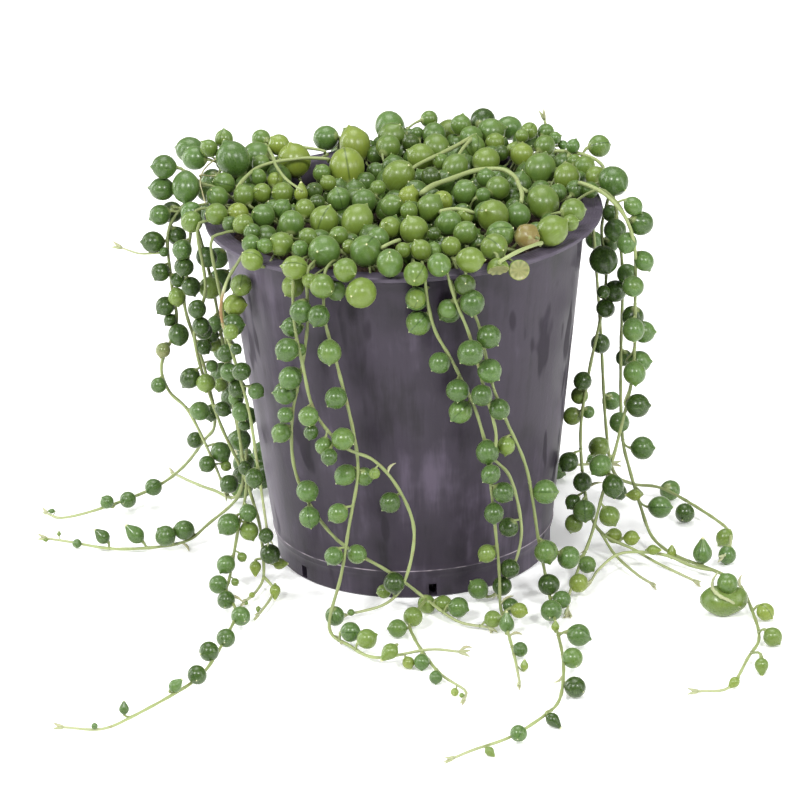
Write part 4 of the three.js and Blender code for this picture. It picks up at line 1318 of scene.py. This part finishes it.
PEARL_TONES = [
    (0.0, linear(32, 54, 16)), (0.18, linear(50, 78, 28)), (0.32, linear(72, 104, 46)),
    (0.45, linear(95, 116, 42)), (0.58, linear(108, 130, 54)), (0.7, linear(122, 138, 50)),
    (0.82, linear(94, 104, 58)), (0.93, linear(152, 150, 102)), (1.0, linear(124, 104, 60)),
]
STEM_TONES = [
    (0.0, linear(104, 116, 66)), (0.2, linear(134, 146, 92)), (0.45, linear(156, 168, 112)),
    (0.7, linear(168, 172, 134)), (0.88, linear(150, 120, 76)), (1.0, linear(92, 68, 46)),
]
PLASTIC_TONES = [(0.34, linear(34, 29, 37)), (0.5, linear(54, 47, 59)), (0.66, linear(84, 75, 91))]
SOIL_TONES = [(0.3, linear(34, 26, 20)), (0.5, linear(62, 47, 36)), (0.72, linear(104, 82, 60))]


def pearl_skin(name, bloom_and_top_light_share, warmth, softness):
    """Waxy green skin: pale waxy bloom laid on the upward side as painted top light, a dark window line,
    fine streaks, a pale tip.
    """
    n = Nodes(name)
    at = n.at()
    place = n.attribute("place", "Vector")
    x, y, z = n.parts(place)
    tone = n.attribute("tone", "Fac")
    mottled = n.varied(tone, n.noise(at, 260, 2), 0.16)
    green = n.mix(warmth, n.ramp(mottled, PEARL_TONES, "LINEAR"), linear(116, 122, 22))
    streaks = n.noise(n.stretch(place, (9, 9, 0.9)), 1.6, 2)
    streaked = n.mix(n.span(streaks, 0.5, 0.75, 0, 0.3), green, linear(132, 160, 92))
    upward = n.parts(n.tree.nodes.new("ShaderNodeNewGeometry").outputs["Normal"])[2]
    # Pale bloom on upward-facing skin: a real waxy bloom, placed by where light falls from above, so
    # partly painted top light.
    bloom_and_top_light = n.times(n.span(tone, 0.12, 0.28), n.span(upward, -0.3, 1.0, 0.0, bloom_and_top_light_share))
    bloom_and_top_lit = n.mix(bloom_and_top_light, streaked, linear(130, 158, 108))
    near_line = n.times(n.span(n.math("ABSOLUTE", y), 0.0, 0.09, 1, 0), n.span(x, 0.05, 0.3))
    lined = n.mix(n.times(near_line, 0.6), bloom_and_top_lit, linear(24, 54, 12))
    tipped = n.mix(n.span(z, 1.13, 1.19), lined, linear(206, 206, 160))
    base = n.span(z, -1.02, -0.88, 0.7, 0)
    n.set(Base_Color=n.mix(base, tipped, linear(150, 162, 104)))
    n.set(Roughness=n.span(n.noise(at, 900, 2), 0.35, 0.7, softness, softness + 0.1))
    n.set(Subsurface_Weight=0.12, Subsurface_Scale=0.002, Subsurface_Radius=(0.9, 1.0, 0.4))
    n.set(Sheen_Weight=0.24, Sheen_Roughness=0.3, Sheen_Tint=linear(222, 232, 164), IOR=1.5)
    groove = n.math("SUBTRACT", n.noise(at, 1400, 2), n.times(near_line, 1.6))
    n.bump(groove, 0.1, 0.0002)
    return n.material


def stem_skin():
    """Pale green stems, striped along their length, browner where they are dry."""
    n = Nodes("stem_skin")
    place = n.attribute("place", "Vector")
    stripes = n.noise(n.stretch(place, (1.4, 1.4, 0.12)), 1.5, 3)
    tone = n.varied(n.attribute("tone", "Fac"), stripes, 0.22)
    colour = n.ramp(tone, STEM_TONES, "LINEAR")
    scars = n.span(n.noise(n.stretch(place, (0.2, 0.2, 0.5)), 1.0, 1), 0.62, 0.72, 0, 0.35)
    n.set(Base_Color=n.mix(scars, colour, linear(132, 112, 74)))
    n.set(Roughness=n.span(stripes, 0.3, 0.7, 0.42, 0.6))
    n.set(Subsurface_Weight=0.08, Subsurface_Scale=0.001, Subsurface_Radius=(0.7, 1.0, 0.4))
    n.bump(stripes, 0.3, 0.0002)
    return n.material


def plastic():
    """Thin cloudy plastic with upright drag marks, a painted reflection band at the left, and dull spots
    whose dark colour is painted shade and reflection of the hanging pearls.
    """
    n = Nodes("pot_plastic")
    at = n.at()
    across, _, upper = n.parts(at)
    drag = n.noise(n.stretch(at, (150, 150, 7)), 1.0, 4, 0.65)
    blend = n.add(n.times(n.noise(at, 38, 4), 0.55), n.times(drag, 0.45))
    body = n.ramp(blend, PLASTIC_TONES)
    # A lighter streaked band at the left: painted reflection of the light from the left.
    left_side = n.span(across, -0.047, -0.035, 0.6, 0)
    painted_reflection = n.times(left_side, n.span(drag, 0.4, 0.6, 0.5, 1))
    with_painted_reflection = n.mix(painted_reflection, body, linear(128, 121, 134))
    # Dull, darker spots, mostly at the right: rougher plastic, with their dark colour painted shade and
    # dark reflections of the hanging pearls.
    spots = n.noise(n.stretch(at, (95, 95, 30)), 1.0, 2)
    on_right = n.span(across, 0.034, 0.044, 0, 0.13)
    dull_shaded_spots = n.span(n.add(spots, on_right), 0.64, 0.7, 0, 0.5)
    spot_shaded = n.mix(dull_shaded_spots, with_painted_reflection, linear(32, 28, 34))
    on_rim = n.span(upper, (POT_HEIGHT - 1.9) * MM, (POT_HEIGHT - 1.3) * MM)
    rimmed = n.mix(on_rim, spot_shaded, linear(80, 73, 86))
    above = n.span(upper, (CREASE_HEIGHT - 0.2) * MM, CREASE_HEIGHT * MM)
    crease = n.times(above, n.span(upper, (CREASE_HEIGHT + 0.1) * MM, (CREASE_HEIGHT + 0.3) * MM, 1, 0))
    worn = n.times(crease, n.span(n.noise(at, 170, 2), 0.38, 0.6, 0.1, 0.8))
    n.set(Base_Color=n.mix(worn, rimmed, linear(176, 164, 174)))
    n.set(Roughness=n.add(n.span(blend, 0.3, 0.7, 0.34, 0.5), n.times(dull_shaded_spots, 0.6)))
    n.set(IOR=1.5, Specular_IOR_Level=0.3)
    n.bump(n.add(n.times(n.noise(at, 900, 2), 0.5), drag), 0.25, 0.0003)
    return n.material


def soil_mix():
    """Dark potting mix with bark crumbs and a few pale grains."""
    n = Nodes("soil_mix")
    at = n.at()
    crumbs = n.node("ShaderNodeTexVoronoi", Vector=at, Scale=520)
    fibre = n.noise(n.stretch(at, (420, 900, 420)), 1.0, 3)
    grains = n.span(n.noise(at, 640, 1), 0.71, 0.74)
    brown = n.ramp(fibre, SOIL_TONES)
    n.set(Base_Color=n.mix(grains, brown, linear(196, 190, 176)), Roughness=0.92)
    n.bump(n.add(crumbs.outputs["Distance"], fibre), 0.8, 0.0012)
    return n.material


def studio_white():
    n = Nodes("studio_white")
    cloud = n.noise(n.at(), 6, 2)
    n.set(Base_Color=n.mix(cloud, linear(250, 250, 250), linear(252, 252, 252)), Roughness=0.95)
    n.set(Specular_IOR_Level=0.1, Emission_Color=linear(255, 255, 255), Emission_Strength=0.22)
    return n.material


# Stage, light and camera
FLOOR_HALF = 6.0
LIGHT_AIM = Vector((0, -0.02, 0.06))
LIGHTS = [
    # name, place in metres, width, height, power; all aim at the plant's middle
    ("key_left", (-0.66, -1.12, 1.16), 0.2, 0.2, 14.5),
    ("key_right", (0.62, -1.16, 1.12), 0.2, 0.2, 12.5),
    ("strip_left", (-1.3, -0.35, 0.5), 0.2, 1.2, 8),
    ("rear_left", (-1.15, 0.6, 0.5), 0.3, 1.0, 8),
    ("strip_right", (1.25, -0.5, 0.5), 0.35, 1.2, 7),
    ("overhead", (-0.1, 0.35, 1.7), 1.1, 1.1, 18),
]
WORLD_LIGHT = 0.27


def make_stage():
    h = FLOOR_HALF
    mesh = bpy.data.meshes.new("studio_floor")
    mesh.from_pydata([(-h, -h, 0), (h, -h, 0), (h, h, 0), (-h, h, 0)], [], [(0, 1, 2, 3)])
    mesh.materials.append(studio_white())
    floor = link("studio_floor", mesh)
    world = bpy.data.worlds.new("studio")
    world.use_nodes = True
    background = world.node_tree.nodes["Background"]
    background.inputs["Color"].default_value = (1, 1, 1, 1)
    background.inputs["Strength"].default_value = WORLD_LIGHT
    bpy.context.scene.world = world
    for name, place, width, height, power in LIGHTS:
        light = bpy.data.lights.new(name, "AREA")
        light.shape = "RECTANGLE"
        light.size, light.size_y = width, height
        light.energy = power
        lamp = link(name, light)
        lamp.location = place
        lamp.rotation_mode = "QUATERNION"
        lamp.rotation_quaternion = (LIGHT_AIM - Vector(place)).to_track_quat("-Z", "Y")
    bpy.context.scene.view_settings.view_transform = "Standard"


def make_camera():
    data = bpy.data.cameras.new("camera")
    data.sensor_width = SENSOR
    data.lens = FOCAL_PIXELS * SENSOR / PHOTO_SIZE
    data.clip_start, data.clip_end = 0.05, 40
    camera = link("camera", data)
    turn = Matrix([RIGHT, UP, -FORWARD]).transposed()
    camera.matrix_world = Matrix.LocRotScale(Vector(EYE * MM), turn.to_quaternion(), None)
    bpy.context.scene.camera = camera


def grow_plant():
    """Everything that grows, gathered in PIECES; the order decides which random numbers each step draws.
    """
    trails = all_trails()
    add_stems(trails)
    samples = {
        side: StemSamples({name: trails[name] for name in trails if f"_{side}_" in name})
        for side in ("left", "front", "right")
    }
    everywhere = StemSamples(trails)
    grow_seen(samples["front"], SEEN_FRONT, PLAIN_TONE)
    grow_seen(samples["left"], SEEN_LEFT, LEFT_TONE)
    grow_seen(samples["right"], SEEN_RIGHT, PLAIN_TONE)
    grow_seen_mat(everywhere)
    add_arches(everywhere)
    add_bud()
    add_side_shoot(samples["left"])
    add_pod()
    add_remains(everywhere)
    grow_by_rule(trails, [name for name in trails if "_back_" in name], PLAIN_TONE)
    fill_mat()
    fill_rim()
    creep_stems()


def make_plant():
    grow_plant()
    hanging_skin = pearl_skin("pearl_skin", 0.17, 0.04, 0.25)
    mat_skin = pearl_skin("mat_pearl_skin", 0.08, 0.1, 0.29)
    stem = stem_skin()
    for (kind, owner), made in PIECES.items():
        is_mat = kind.startswith("mat")
        node = f"mat_clump_{owner + 1}" if is_mat else owner
        name = f"{kind}_{owner + 1}" if is_mat else f"{kind}_{owner[6:]}"
        skin = mat_skin if is_mat else hanging_skin
        piece = made.to_object(name, skin if "pearls" in kind else stem)
        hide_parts(node)


make_camera()
make_stage()
make_pot()
make_soil()
make_plant()
